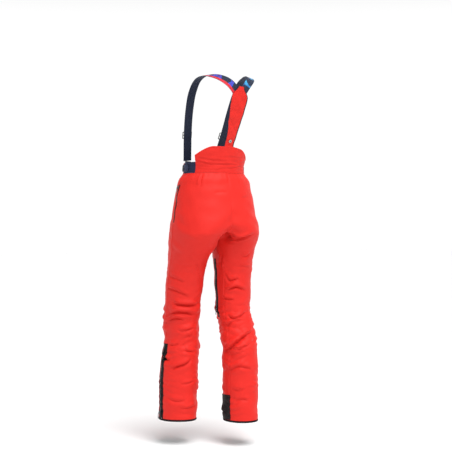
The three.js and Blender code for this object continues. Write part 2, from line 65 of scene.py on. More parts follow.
def mono(values):
    x = -Zt
    v = np.array(values, float)
    d = np.diff(v) / np.diff(x)
    m = np.zeros_like(v)
    m[0], m[-1] = d[0], d[-1]
    p = d[:-1] * d[1:]
    m[1:-1] = np.where(p <= 0, 0, 2 * p / np.where(p <= 0, 1, d[:-1] + d[1:]))

    def f(z):
        q = np.clip(-np.asarray(z, float), x[0], x[-1])
        i = np.clip(np.searchsorted(x, q, side="left") - 1, 0, len(x) - 2)
        h = x[i + 1] - x[i]
        t = (q - x[i]) / h
        t2 = t * t
        t3 = t2 * t
        return (2 * t3 - 3 * t2 + 1) * v[i] + (t3 - 2 * t2 + t) * h * m[i] + (-2 * t3 + 3 * t2) * v[i + 1] + (t3 - t2) * h * m[i + 1]

    return f


F = {k: mono(v) for k, v in TABLES.items()}


def smooth(v):
    t = np.clip(v, 0, 1)
    return t * t * (3 - 2 * t)


def surf(side, s, z):
    s, z = np.broadcast_arrays(np.asarray(s, float), np.asarray(z, float))
    c = F["CX"](z)
    a = F["OUT"](z) - c
    r = c / a
    t0 = np.where(r < 1, np.arccos(np.clip(r, 0, 1)), 0)
    t = t0 + s * (2 * np.pi - 2 * t0)
    x = c - a * np.cos(t)
    sn = np.sin(t)
    sp = 28 * smooth((z + 284) / 60)
    xe = np.where(x < c, np.minimum(np.hypot(x, sp), c), x)
    h = np.sqrt(np.maximum(0, 1 - ((c - xe) / a) ** 2))
    y = np.where(sn > 0, -F["BF"](z) * h, F["BB"](z) * h)
    cy = F["CYL"](z) if side > 0 else F["CYR"](z)
    sh = cy - F["CY0"](z)
    near = smooth(x / 70)
    below = smooth((-280 - z) / 70)
    flare = (smooth((x - c) / a) * (15 * smooth((-735 - z) / 60) + 6 * np.exp(-(((z + 500) / 90) ** 2)))) if side > 0 else 0 * x
    return np.stack([side * (x + flare), y + F["CY0"](z) + sh * (near + (1 - near) * below) - 0.4 * flare, z], -1)


def normal(side, s, z, e=0.004, h=2.0):
    s, z = np.broadcast_arrays(np.asarray(s, float), np.asarray(z, float))
    u = surf(side, s + e, z) - surf(side, s - e, z)
    v = surf(side, s, z + h) - surf(side, s, z - h)
    n = np.cross(u, v)
    n /= np.maximum(np.linalg.norm(n, axis=-1, keepdims=True), 1e-9)
    return n if side > 0 else -n


def metric(side, s, z):
    return np.linalg.norm(surf(side, np.asarray(s) + 0.002, z) - surf(side, np.asarray(s) - 0.002, z), axis=-1) / 0.004


# the z at which the two legs part
_zz = np.linspace(-260, -300, 4001)
CROTCH = float(_zz[np.argmin(np.abs(F["CX"](_zz) - (F["OUT"](_zz) - F["CX"](_zz))))])


def inseam(z):
    """Where the inseam runs round a leg, as s; 0 at the crotch."""
    z = np.asarray(z, float)
    return -0.079 * smooth((CROTCH - z) / 110) + 0.031 * smooth((-420 - z) / 560)


# ------------------------------------------------------------------ folds
FOLD_GAIN, FOLD_WIDE = 1.55, 1.3
# One fold: side, its line over the surface as (s, z) points, height and half-width in mm. The cloth rolls out above the line and tucks in along it.
FOLDS = [
    (1, [(0.443, -469), (0.565, -477), (0.653, -494), (0.72, -511)], 3.4, 11),
    (1, [(0.84, -540), (0.725, -542), (0.643, -540), (0.562, -531)], 7.5, 10),
    (1, [(0.518, -581), (0.613, -571), (0.695, -573), (0.815, -587)], 7.0, 10),
    (1, [(0.5, -614), (0.578, -598), (0.635, -596), (0.693, -606)], 4.5, 8),
    (1, [(0.82, -637), (0.735, -643), (0.67, -648), (0.613, -643)], 2.8, 10),
    (1, [(0.53, -704), (0.588, -708), (0.645, -700)], 3.0, 8),
    (1, [(0.823, -733), (0.738, -735), (0.68, -724)], 3.2, 9),
    (1, [(0.595, -814), (0.648, -797), (0.71, -785), (0.77, -764)], 5.6, 10),
    (1, [(0.415, -753), (0.523, -766), (0.583, -772)], 6.0, 11),
    (1, [(0.818, -857), (0.735, -866), (0.67, -870)], 2.4, 10),
    (1, [(0.568, -926), (0.645, -940), (0.72, -936)], 2.4, 11),
    (1, [(0.835, -959), (0.74, -969), (0.665, -969)], 2.6, 9),
    (1, [(0.488, -421), (0.588, -432), (0.67, -448)], 2.4, 12),
    (1, [(0.725, -361), (0.775, -396), (0.825, -438)], 2.0, 12),
    (-1, [(-0.053, -324), (-0.05, -365), (-0.058, -398)], 3.0, 8),
    (1, [(0.742, -7), (0.748, -30), (0.752, -58)], 3.0, 7),
    (-1, [(0.60, -8), (0.605, -28), (0.60, -50)], 2.4, 7),
    (-1, [(0.80, -95), (0.86, -100), (0.92, -108)], 1.2, 12),
    (1, [(0.86, -84), (0.92, -78), (0.985, -80)], 1.2, 12),
    (-1, [(-0.075, -411), (-0.122, -440), (-0.162, -438), (-0.215, -430)], 4.2, 8),
    (-1, [(-0.092, -486), (-0.137, -475), (-0.18, -469), (-0.227, -475), (-0.297, -486)], 5.4, 9),
    (-1, [(-0.05, -515), (-0.11, -519), (-0.172, -523)], 3.8, 8),
    (-1, [(-0.092, -583), (-0.142, -598), (-0.21, -591), (-0.323, -566)], 6.0, 10),
    (-1, [(-0.038, -641), (-0.105, -618), (-0.175, -608), (-0.265, -608)], 4.0, 9),
    (-1, [(0.09, -741), (-0.058, -720), (-0.14, -695), (-0.232, -668), (-0.397, -641)], 8.0, 12),
    (-1, [(-0.122, -733), (-0.188, -716), (-0.275, -702)], 3.6, 9),
    (-1, [(-0.035, -820), (-0.09, -801), (-0.145, -793), (-0.215, -799), (-0.277, -812)], 3.8, 11),
    (-1, [(-0.065, -880), (-0.13, -891), (-0.203, -882)], 2.4, 11),
    (-1, [(-0.083, -942), (-0.157, -928), (-0.24, -936)], 2.6, 11),
    (-1, [(-0.297, -324), (-0.262, -340), (-0.207, -342)], 3.0, 9),
    (-1, [(-0.325, -390), (-0.247, -382), (-0.193, -384)], 2.2, 9),
]
# folds on the faces the stance compresses but that look away from the main view
_r = np.random.default_rng(11)
for side in (1, -1):
    lo, hi = (-0.06, 0.40) if side > 0 else (0.05, 0.58)
    for zc, n, a in ((-330, 3, 2.4), (-430, 3, 2.0), (-560, 4, 3.2), (-640, 4, 4.0), (-715, 4, 4.2), (-800, 4, 3.2), (-890, 3, 2.6), (-965, 3, 2.6)):
        for _ in range(n):
            s0 = _r.uniform(lo, hi)
            z0 = zc + _r.uniform(-32, 32)
            ln = _r.uniform(0.07, 0.14)
            tilt = _r.uniform(-26, 26)
            FOLDS.append((side, [(s0 - ln / 2, z0 - tilt / 2), (s0, z0 + _r.uniform(-7, 7)), (s0 + ln / 2, z0 + tilt / 2)], a * _r.uniform(0.75, 1.2), _r.uniform(9, 14)))
# round soft bulges and dents: side, s, z, height, radius
BUMPS = [(1, 0.80, -294, 8, 42), (1, 0.68, -290, 7, 42), (1, 0.90, -296, 5, 34), (-1, 0.02, -470, 5, 60), (-1, 0.03, -983, 8, 24), (-1, -0.02, -950, -2.5, 18), (1, 0.46, -740, 4, 22), (1, 0.45, -800, -4, 26), (1, 0.80, -530, -3.5, 14), (1, 0.82, -560, 4, 14),
         (-1, 0.62, -225, 3, 30), (1, 0.40, -620, 5, 45), (-1, 0.42, -640, 5, 45), (-1, -0.06, -745, -6, 20), (-1, -0.10, -690, 4, 26)]


def catmull(points, n):
    p = np.array(points, float)
    p = np.vstack([2 * p[0] - p[1], p, 2 * p[-1] - p[-2]])
    k = len(p) - 3
    out = []
    for q in np.linspace(0, k, n):
        i = min(int(q), k - 1)
        t = q - i
        a, b, c, d = p[i], p[i + 1], p[i + 2], p[i + 3]
        out.append(0.5 * (2 * b + (c - a) * t + (2 * a - 5 * b + 4 * c - d) * t * t + (3 * b - a - 3 * c + d) * t ** 3))
    return np.array(out)


def roll(side, pts, amp, w, P):
    """Displacement at points P of one fold whose line is given on a side's surface."""
    D = np.zeros(len(P))
    w = w * FOLD_WIDE
    sz = catmull(pts, 28)
    L = surf(side, sz[:, 0], sz[:, 1])
    Nn = normal(side, sz[:, 0], sz[:, 1])
    T = np.gradient(L, axis=0)
    T /= np.linalg.norm(T, axis=1, keepdims=True)
    B = np.cross(Nn, T)
    B[B[:, 2] < 0] *= -1
    near = np.where(np.all((P > L.min(0) - 4 * w) & (P < L.max(0) + 4 * w), axis=1))[0]
    if not len(near):
        return D
    Q = P[near]
    k = ((Q[:, None, :] - L[None]) ** 2).sum(-1).argmin(1)
    v = Q - L[k]
    sg = (v * B[k]).sum(1)
    along = np.abs((v * T[k]).sum(1))
    off = np.abs((v * Nn[k]).sum(1))
    f = k / (len(L) - 1)
    fade = smooth(f / 0.3) * smooth((1 - f) / 0.3) * np.exp(-((along / (0.8 * w)) ** 2)) * np.exp(-((off / 30.0) ** 2))
    h = 0.85 * np.exp(-(((sg - 0.85 * w) / (0.8 * w)) ** 2)) - 1.15 * np.exp(-(((sg + 0.05 * w) / (0.30 * w)) ** 2)) + 0.3 * np.exp(-(((sg + 1.2 * w) / (0.8 * w)) ** 2))
    D[near] = FOLD_GAIN * amp * h * fade
    return D


def fold_height(side, P):
    """Displacement in mm at points P (n,3) of a side's surface."""
    D = np.zeros(len(P))
    for sd, pts, amp, w in FOLDS:
        if sd == side:
            D += roll(side, pts, amp, w, P)
    for sd, s, z, a, r in BUMPS:
        if sd == side:
            c = surf(side, s, z)
            D += a * np.exp(-((P - c) ** 2).sum(1) / r ** 2)
    return D


def centre_height(P):
    """What both sides share across the centre: the hollow between them low at the back, and the crease under the right of the seat."""
    sh = P.shape[:-1]
    p = P.reshape(-1, 3)
    D = -24.0 * np.exp(-((p[:, 0] / 24.0) ** 2) - ((p[:, 2] + 264.0) / 27.0) ** 2) * smooth((p[:, 1] - 25) / 60)
    D -= 5.0 * np.exp(-((p[:, 0] / 22.0) ** 2) - ((p[:, 2] + 205.0) / 42.0) ** 2) * smooth((p[:, 1] - 25) / 60)
    D += roll(-1, [(1.10, -262), (1.03, -250), (0.97, -252), (0.92, -259), (0.87, -263), (0.82, -257), (0.76, -244)], 9.0, 9, p)
    D += roll(-1, [(1.06, -268), (1.02, -263), (0.97, -265), (0.92, -272), (0.87, -276), (0.82, -271), (0.78, -261)], -6.5, 6.2, p)
    return D.reshape(sh)


def waves(P, seed, lo, hi, n=12, upright=1.6):
    r = np.random.default_rng(seed)
    warp = np.stack([np.sin(P @ (r.normal(size=3) / 60) * 2 + r.uniform(0, 6)) for _ in range(3)], 1) * 9
    Q = P + warp
    t = np.zeros(len(P))
    for _ in range(n):
        k = np.array([r.normal() * 0.5, r.normal() * 0.5, upright * r.choice([-1, 1])])
        k /= np.linalg.norm(k)
        t += np.sin(Q @ k * 2 * np.pi / r.uniform(lo, hi) + r.uniform(0, 2 * np.pi))
    return t / math.sqrt(n / 2)


def relief(side, S, Z, P):
    """All the cloth's displacement from the plain surface, in mm outwards."""
    sh = P.shape[:-1]
    p = P.reshape(-1, 3)
    z = Z.reshape(-1)
    s = S.reshape(-1)
    D = fold_height(side, p)
    leg = smooth((-300 - z) / 60)
    zone = 0.35 + 1.1 * np.exp(-(((z + 600) / 80) ** 2)) + 1.2 * np.exp(-(((z + 712) / 75) ** 2)) + 0.8 * np.exp(-(((z + 850) / 80) ** 2)) + 0.8 * np.exp(-(((z + 965) / 45) ** 2)) + 0.5 * np.exp(-(((z + 380) / 60) ** 2))
    patch = 0.55 + 0.45 * np.clip(waves(p, 5 + side, 90, 170, 6, 0.4), -1, 1)
    n = waves(p, 21 + side, 34, 62)
    D += leg * zone * patch * (np.abs(n) - 0.75) * 1.5
    D += leg * zone * 0.8 * waves(p, 31 + side, 64, 110, 9, 1.3)
    c = waves(p, 51 + side, 52, 96, 9, 1.0)
    D -= leg * zone * patch * 1.3 * np.exp(-np.abs(c) / 0.16)
    f = waves(p, 71 + side, 22, 40, 12, 2.2)
    D -= leg * zone * patch * 0.7 * np.exp(-np.abs(f) / 0.2)
    D += (0.35 + 0.25 * leg) * waves(p, 41 + side, 60, 120, 8, 0.8)
    # the trunk: full just under the waist seam, with small gathers, then nearly smooth over the seat
    D += 4.2 * np.exp(-(((z + 22) / 15) ** 2)) * (z < 0) * (0.75 + 0.25 * np.sin(s * 40 + side))
    D += 1.0 * np.exp(z / 26.0) * (z <= 0) * np.sin(s * 120 + 3 * np.sin(s * 17 + side)) * smooth(-z / 6)
    D += (1 - leg) * 0.7 * waves(p, 61 + side, 45, 90, 8, 0.9) * smooth(-z / 40)
    # the last band above the hem lies closer to its binding, and the waist edge to its seam
    D *= 0.25 + 0.75 * smooth((z - HEM_Z) / 26)
    D *= smooth((2 - z) / 7)
    return D.reshape(sh)


def lines(side, S, Z, P):
    """Sewn seams: a narrow groove between two low welts, beside the outseam and inseam."""
    D = np.zeros(P.shape[:-1])
    for f, z0, z1 in ((lambda z: 0.5 + 0 * z, -206, -705), (lambda z: inseam(z), CROTCH - 8, -1016), (lambda z: 1 + inseam(z), CROTCH - 8, -1016)):
        d = (S - f(Z)) * metric(side, np.where(np.abs(S - f(Z)) < 0.1, f(Z), S), Z)
        on = smooth((z0 - Z) / 6) * smooth((Z - z1) / 6)
        D += on * (-1.5 * np.exp(-((d / 1.9) ** 2)) + 0.7 * np.exp(-(((np.abs(d) - 5.0) / 3.2) ** 2)))
    return D


# ------------------------------------------------------------------ meshes
MATS = {}


def build(name, verts, faces, mats, mat_index=None, uv=None, sharp=None, flat=False):
    """verts in mm."""
    me = bpy.data.meshes.new(name)
    me.from_pydata((np.asarray(verts) * 0.001).tolist(), [], [list(map(int, f)) for f in faces])
    me.update()
    for m in mats:
        me.materials.append(MATS[m])
    if mat_index is not None:
        me.polygons.foreach_set("material_index", np.asarray(mat_index, np.int32))
    me.polygons.foreach_set("use_smooth", np.full(len(me.polygons), not flat))
    if uv is not None:
        layer = me.uv_layers.new(name="UVMap")
        layer.data.foreach_set("uv", (np.asarray(uv, np.float32)).ravel())
    if sharp is not None and len(sharp):
        e = np.zeros(len(me.edges) * 2, np.int64)
        me.edges.foreach_get("vertices", e)
        e = np.sort(e.reshape(-1, 2), 1)
        n = len(verts) + 1
        keys = set((np.sort(sharp, 1)[:, 0] * n + np.sort(sharp, 1)[:, 1]).tolist())
        flag = np.array([k in keys for k in (e[:, 0] * n + e[:, 1]).tolist()], bool)
        at = me.attributes.get("sharp_edge") or me.attributes.new("sharp_edge", "BOOLEAN", "EDGE")
        at.data.foreach_set("value", flag)
    me.validate()
    o = bpy.data.objects.new(name, me)
    bpy.context.scene.collection.objects.link(o)
    return o


def shell(name, P, N, thick, mats, U=None, V=None, mask=None, weld=None, rim=0, inner=1, wrap=False):
    """A closed slab between the grid P (rows, columns, 3) and the same grid set back by thick along N. weld names the rows whose two ends meet."""
    R, C = P.shape[:2]
    idx = np.arange(R * C).reshape(R, C)
    if wrap:
        weld = np.ones(R, bool)
    if weld is not None:
        idx[weld, C - 1] = idx[weld, 0]
    thick = np.broadcast_to(np.asarray(thick, float), (R, C))
    I = P - N * thick[..., None]
    verts = np.vstack([P.reshape(-1, 3), I.reshape(-1, 3)])
    NN = R * C
    if mask is None:
        mask = np.ones((R - 1, C - 1), bool)
    ii, jj = np.where(mask)
    corners = [(ii, jj), (ii + 1, jj), (ii + 1, jj + 1), (ii, jj + 1)]
    q = np.stack([idx[a, b] for a, b in corners], 1)
    g = np.cross(verts[q[:, 1]] - verts[q[:, 0]], verts[q[:, 3]] - verts[q[:, 0]])
    flip = (g * N[ii, jj]).sum() < 0
    if U is None:
        U = np.broadcast_to(np.concatenate([[0], np.cumsum(np.linalg.norm(np.diff(P[R // 2], axis=0), axis=1))]), (R, C)) * 0.001
    if V is None:
        V = np.broadcast_to(np.concatenate([[0], np.cumsum(np.linalg.norm(np.diff(P[:, C // 2], axis=0), axis=1))])[:, None], (R, C)) * 0.001
    uvq = np.stack([np.stack([U[a, b], V[a, b]], -1) for a, b in corners], 1)
    if flip:
        q, uvq = q[:, ::-1], uvq[:, ::-1]
    qi, uvi = (q + NN)[:, ::-1], uvq[:, ::-1]
    a, b = q, np.roll(q, -1, 1)
    ua, ub = uvq, np.roll(uvq, -1, 1)
    ea, eb = a.ravel(), b.ravel()
    key = ea.astype(np.int64) * (2 * NN) + eb
    rev = eb.astype(np.int64) * (2 * NN) + ea
    edge = ~np.isin(key, rev)
    ba, bb = ea[edge], eb[edge]
    uva, uvb = ua.reshape(-1, 2)[edge], ub.reshape(-1, 2)[edge]
    rq = np.stack([bb, ba, ba + NN, bb + NN], 1)
    uvr = np.stack([uvb, uva, uva, uvb], 1)
    faces = np.vstack([q, qi, rq])
    uv = np.vstack([uvq, uvi, uvr])
    mi = np.concatenate([np.zeros(len(q), int), np.full(len(qi), inner), np.full(len(rq), rim)])
    used, faces = np.unique(faces, return_inverse=True)
    faces = faces.reshape(-1, 4)
    m = {int(u): k for k, u in enumerate(used)}
    sharp = np.array([[m[int(x)], m[int(y)]] for x, y in zip(ba, bb)] + [[m[int(x + NN)], m[int(y + NN)]] for x, y in zip(ba, bb)]) if len(ba) else None
    return build(name, verts[used], faces, mats, mi, uv.reshape(-1, 2), sharp)


class Bits:
    """Collects small solids into one mesh."""

    def __init__(self):
        self.v, self.f, self.m, self.n = [], [], [], 0

    def add(self, v, f, m=0):
        self.v.append(np.asarray(v, float))
        self.f += [[int(i) + self.n for i in q] for q in f]
        self.m += [m] * len(f)
        self.n += len(v)

    def box(self, size, centre=(0, 0, 0), r=0.4, m=0, M=None):
        """A box with broken edges; M is (origin, x, y, z) columns."""
        w, t, h = (x / 2 for x in size)
        r = min(r, w * 0.9, t * 0.9, h * 0.9)
        v, ids = [], {}
        for sx in (-1, 1):
            for sy in (-1, 1):
                for sz in (-1, 1):
                    for k in range(3):
                        p = [sx * (w - r), sy * (t - r), sz * (h - r)]
                        p[k] = (sx * w, sy * t, sz * h)[k]
                        ids[(sx, sy, sz, k)] = len(v)
                        v.append(p)
        f = []
        for k in range(3):
            i, j = [q for q in range(3) if q != k]
            for s in (-1, 1):
                loop = []
                for a, b in ((-1, -1), (1, -1), (1, 1), (-1, 1)):
                    c = [0, 0, 0]
                    c[k], c[i], c[j] = s, a, b
                    loop.append(ids[(*c, k)])
                f.append(loop)
        for k in range(3):
            i, j = [q for q in range(3) if q != k]
            for a in (-1, 1):
                for b in (-1, 1):
                    c0, c1 = [0, 0, 0], [0, 0, 0]
                    c0[k], c0[i], c0[j] = -1, a, b
                    c1[k], c1[i], c1[j] = 1, a, b
                    f.append([ids[(*c0, i)], ids[(*c1, i)], ids[(*c1, j)], ids[(*c0, j)]])
        for sx in (-1, 1):
            for sy in (-1, 1):
                for sz in (-1, 1):
                    f.append([ids[(sx, sy, sz, 0)], ids[(sx, sy, sz, 1)], ids[(sx, sy, sz, 2)]])
        v = np.array(v)
        out = []
        for q in f:
            c = v[q].mean(0)
            n = np.cross(v[q[1]] - v[q[0]], v[q[2]] - v[q[0]])
            out.append(q if n @ c > 0 else q[::-1])
        v = v + np.array(centre, float)
        self.add(place(v, M), out, m)

    def lathe(self, prof, n=32, m=0, M=None, centre=(0, 0, 0)):
        """prof: (radius, height along the out direction) from the axis round to the axis."""
        v, f = [], []
        a = np.linspace(0, 2 * np.pi, n, endpoint=False)
        rings = []
        for r, h in prof:
            if r < 1e-6:
                rings.append([len(v)])
                v.append((0, h, 0))
            else:
                rings.append(list(range(len(v), len(v) + n)))
                v += [(r * math.cos(q), h, r * math.sin(q)) for q in a]
        for p, q in zip(rings, rings[1:]):
            for k in range(n):
                if len(p) == 1:
                    f.append([p[0], q[(k + 1) % n], q[k]])
                elif len(q) == 1:
                    f.append([p[k], p[(k + 1) % n], q[0]])
                else:
                    f.append([p[k], p[(k + 1) % n], q[(k + 1) % n], q[k]])
        v = np.array(v, float) + np.array(centre, float)
        vol = sum(np.dot(v[q[0]] - v[0], np.cross(v[q[i]] - v[0], v[q[i + 1]] - v[0])) for q in f for i in range(1, len(q) - 1))
        if vol < 0:
            f = [q[::-1] for q in f]
        self.add(place(v, M), f, m)

    def tube(self, path, r, n=8, m=0, M=None, closed=False):
        p = np.array(path, float)
        T = np.roll(p, -1, 0) - np.roll(p, 1, 0) if closed else np.gradient(p, axis=0)
        T /= np.linalg.norm(T, axis=1, keepdims=True)
        ref = np.array([0.3, 0.9, 0.2])
        v, f = [], []
        up = np.cross(T[0], ref)
        rr = np.broadcast_to(np.asarray(r, float), (len(p),))
        for k in range(len(p)):
            up = up - T[k] * (up @ T[k])
            up /= np.linalg.norm(up)
            w = np.cross(T[k], up)
            for a in np.linspace(0, 2 * np.pi, n, endpoint=False):
                v.append(p[k] + rr[k] * (math.cos(a) * up + math.sin(a) * w))
        for k in range(len(p) if closed else len(p) - 1):
            for a in range(n):
                k2 = (k + 1) % len(p)
                f.append([k * n + a, k * n + (a + 1) % n, k2 * n + (a + 1) % n, k2 * n + a])
        if not closed:
            f.append([a for a in range(n)][::-1])
            f.append([(len(p) - 1) * n + a for a in range(n)])
        self.add(place(np.array(v), M), f, m)

    def stitches(self, P, N, pitch=3.6, length=2.5, w=0.5, h=0.42, m=0, lift=0.1):
        """A run of thread along a line."""
        P, N = np.asarray(P, float), np.asarray(N, float)
        d = np.concatenate([[0], np.cumsum(np.linalg.norm(np.diff(P, axis=0), axis=1))])
        for c in np.arange(pitch / 2, d[-1], pitch):
            a = np.array([np.interp(c - length / 2, d, P[:, k]) for k in range(3)])
            b = np.array([np.interp(c + length / 2, d, P[:, k]) for k in range(3)])
            n = np.array([np.interp(c, d, N[:, k]) for k in range(3)])
            t = b - a
            ln = np.linalg.norm(t)
            if ln < 0.2:
                continue
            t /= ln
            n = n - t * (n @ t)
            n /= np.linalg.norm(n)
            x = np.cross(n, t)
            mid = (a + b) / 2 + n * lift
            v = [a + n * (lift - 0.5 * h), mid + x * w, mid + n * h, mid - x * w, b + n * (lift - 0.5 * h), mid - n * 0.35]
            self.add(v, [[0, 1, 2], [0, 2, 3], [4, 2, 1], [4, 3, 2], [0, 5, 1], [0, 3, 5], [4, 1, 5], [4, 5, 3]], m)

    def object(self, name, mats, flat=False):
        v = np.vstack(self.v)
        uv = []
        for f in self.f:
            c = v[f]
            n = np.abs(np.cross(c[1] - c[0], c[2] - c[0]))
            k = int(n.argmax())
            uv += [(p[(k + 1) % 3] * 0.001, p[(k + 2) % 3] * 0.001) for p in c]
        o = build(name, v, self.f, mats, self.m, uv, flat=flat)
        if not flat:
            me = o.data
            # round what is round, keep the edges of what is flat
            e = me.attributes.get("sharp_edge") or me.attributes.new("sharp_edge", "BOOLEAN", "EDGE")
            nrm = np.array([p.normal[:] for p in me.polygons])
            owner = {}
            for p in me.polygons:
                for k in p.edge_keys:
                    owner.setdefault(k, []).append(p.index)
            flags = []
            for ed in me.edges:
                w = owner.get(tuple(sorted(ed.vertices)), [])
                flags.append(len(w) == 2 and float(nrm[w[0]] @ nrm[w[1]]) < 0.62)
            e.data.foreach_set("value", np.array(flags, bool))
        return o


def place(v, M):
    if M is None:
        return v
    o, x, y, z = (np.asarray(q, float) for q in M)
    return o + v[:, :1] * x + v[:, 1:2] * y + v[:, 2:3] * z


def basis(p, out, up):
    """x across, y outwards, z up the line."""
    z = np.asarray(up, float)
    z = z / np.linalg.norm(z)
    y = np.asarray(out, float)
    y = y - z * (y @ z)
    y /= np.linalg.norm(y)
    return (np.asarray(p, float), np.cross(y, z), y, z)


def done(o, body, replaces=()):
    if isinstance(body, tuple) and body[0] == "blend":
        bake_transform(o)
    else:
        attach(o, body)
    if replaces:
        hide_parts(*replaces)
    return o


# ------------------------------------------------------------------ materials
class Graph:
    def __init__(self, name, color, rough=0.6, metal=0.0, spec=0.4, sheen=0.0, sheen_tint=(1, 1, 1, 1), coat=0.0):
        self.m = bpy.data.materials.new(name)
        self.m.use_nodes = True
        self.t = self.m.node_tree
        self.b = self.t.nodes["Principled BSDF"]
        self.b.inputs["Base Color"].default_value = (*color, 1)
        self.b.inputs["Roughness"].default_value = rough
        self.b.inputs["Metallic"].default_value = metal
        self.b.inputs["Specular IOR Level"].default_value = spec
        self.b.inputs["Sheen Weight"].default_value = sheen
        self.b.inputs["Sheen Roughness"].default_value = 0.45
        self.b.inputs["Sheen Tint"].default_value = sheen_tint
        self.b.inputs["Coat Weight"].default_value = coat
        self.color = color
        self.last_bump = None

    def node(self, kind, **kw):
        n = self.t.nodes.new(kind)
        for k, v in kw.items():
            if k.startswith("_"):
                setattr(n, k[1:], v)
            else:
                n.inputs[k.replace("__", " ")].default_value = v
        return n

    def link(self, a, b):
        self.t.links.new(a, b)

    def uv(self, scale=(1, 1, 1)):
        c = self.node("ShaderNodeTexCoord")
        mp = self.node("ShaderNodeMapping")
        mp.inputs["Scale"].default_value = scale
        self.link(c.outputs["UV"], mp.inputs["Vector"])
        return mp.outputs["Vector"]

    def obj(self, scale=(1, 1, 1)):
        c = self.node("ShaderNodeTexCoord")
        mp = self.node("ShaderNodeMapping")
        mp.inputs["Scale"].default_value = scale
        self.link(c.outputs["Object"], mp.inputs["Vector"])
        return mp.outputs["Vector"]

    def math(self, op, a, b=None, c=None):
        n = self.node("ShaderNodeMath", _operation=op)
        for k, v in enumerate((a, b, c)):
            if v is None:
                continue
            if isinstance(v, (int, float)):
                n.inputs[k].default_value = v
            else:
                self.link(v, n.inputs[k])
        return n.outputs[0]

    def noise(self, vec, scale, detail=2.0, rough=0.5):
        n = self.node("ShaderNodeTexNoise", Scale=scale, Detail=detail, Roughness=rough)
        self.link(vec, n.inputs["Vector"])
        return n.outputs["Fac"]

    def ramp(self, fac, stops):
        r = self.node("ShaderNodeValToRGB")
        e = r.color_ramp.elements
        e[0].position, e[0].color = stops[0][0], (*stops[0][1], 1)
        e[1].position, e[1].color = stops[-1][0], (*stops[-1][1], 1)
        for p, c in stops[1:-1]:
            k = e.new(p)
            k.color = (*c, 1)
        self.link(fac, r.inputs["Fac"])
        return r.outputs["Color"]

    def mix(self, fac, a, b):
        n = self.node("ShaderNodeMix", _data_type="RGBA")
        for v, i in ((fac, 0), (a, 6), (b, 7)):
            if isinstance(v, (int, float)):
                n.inputs[i].default_value = v
            elif isinstance(v, tuple):
                n.inputs[i].default_value = (*v, 1)
            else:
                self.link(v, n.inputs[i])
        return n.outputs[2]

    def paint(self, out):
        self.link(out, self.b.inputs["Base Color"])

    def bump(self, height, distance, strength=1.0):
        n = self.node("ShaderNodeBump", Strength=strength, Distance=distance)
        self.link(height, n.inputs["Height"])
        if self.last_bump is not None:
            self.link(self.last_bump, n.inputs["Normal"])
        self.last_bump = n.outputs["Normal"]
        self.link(self.last_bump, self.b.inputs["Normal"])

    def weave(self, pitch, distance, strength=0.5):
        v = self.uv()
        x = self.node("ShaderNodeSeparateXYZ")
        self.link(v, x.inputs[0])
        k = 2 * math.pi / pitch
        a = self.math("SINE", self.math("MULTIPLY", x.outputs[0], k))
        b = self.math("SINE", self.math("MULTIPLY", x.outputs[1], k))
        h = self.math("MULTIPLY", a, b)
        self.bump(h, distance, strength)
        return x


def hexlin(*rgb):
    out = []
    for c in rgb:
        c /= 255.0
        out.append(c / 12.92 if c <= 0.04045 else ((c + 0.055) / 1.055) ** 2.4)
    return tuple(out)


def fabric(name, color, dark, rough, weave, sheen, tint, crumple=0.0006, patchy=0.35, spec=0.32):
    g = Graph(name, color, rough, 0.0, spec, sheen, tint)
    o = g.obj()
    g.bump(g.noise(o, 38, 3, 0.55), 0.010 * crumple / 0.0006, 0.10)
    g.bump(g.noise(o, 120, 3, 0.6), crumple, 0.35)
    g.weave(weave, 0.00008, 0.35)
    n = g.noise(g.obj((1, 1, 1.6)), 14, 4, 0.6)
    g.paint(g.mix(g.math("MULTIPLY", n, patchy), color, dark))
    return g.m


RED = (0.72, 0.018, 0.011)
MATS["red"] = fabric("shell_red_cloth", RED, (0.60, 0.012, 0.008), 0.60, 0.0011, 0.03, (1.0, 0.35, 0.3, 1), spec=0.26)
MATS["lining"] = fabric("dark_red_lining", (0.085, 0.010, 0.014), (0.05, 0.006, 0.009), 0.6, 0.0012, 0.15, (0.9, 0.5, 0.5, 1), 0.0004)
MATS["maroon"] = fabric("maroon_cloth", (0.10, 0.005, 0.009), (0.08, 0.004, 0.006), 0.6, 0.0010, 0.0, (0.9, 0.4, 0.4, 1), 0.0003)
MATS["black"] = fabric("black_cloth", (0.008, 0.008, 0.009), (0.005, 0.005, 0.006), 0.7, 0.0010, 0.02, (0.7, 0.7, 0.8, 1), 0.0003)
MATS["tape"] = fabric("black_zip_tape", (0.006, 0.0055, 0.006), (0.004, 0.004, 0.004), 0.7, 0.0016, 0.0, (0.7, 0.7, 0.8, 1), 0.0001, spec=0.12)
MATS["gaiter"] = fabric("black_gaiter_cloth", (0.014, 0.014, 0.016), (0.009, 0.009, 0.010), 0.55, 0.0008, 0.1, (0.8, 0.8, 0.9, 1), 0.0006)


def guard_cloth():
    g = Graph("black_scuff_guard_cloth", (0.006, 0.006, 0.007), 0.55, 0.0, 0.2, 0.0, (0.8, 0.8, 0.9, 1))
    g.bump(g.noise(g.obj(), 60, 3, 0.6), 0.0012, 0.2)
    g.weave(0.0024, 0.0003, 0.7)
    g.paint(g.mix(g.noise(g.obj(), 90, 3, 0.6), (0.005, 0.005, 0.0055), (0.009, 0.009, 0.010)))
    return g.m


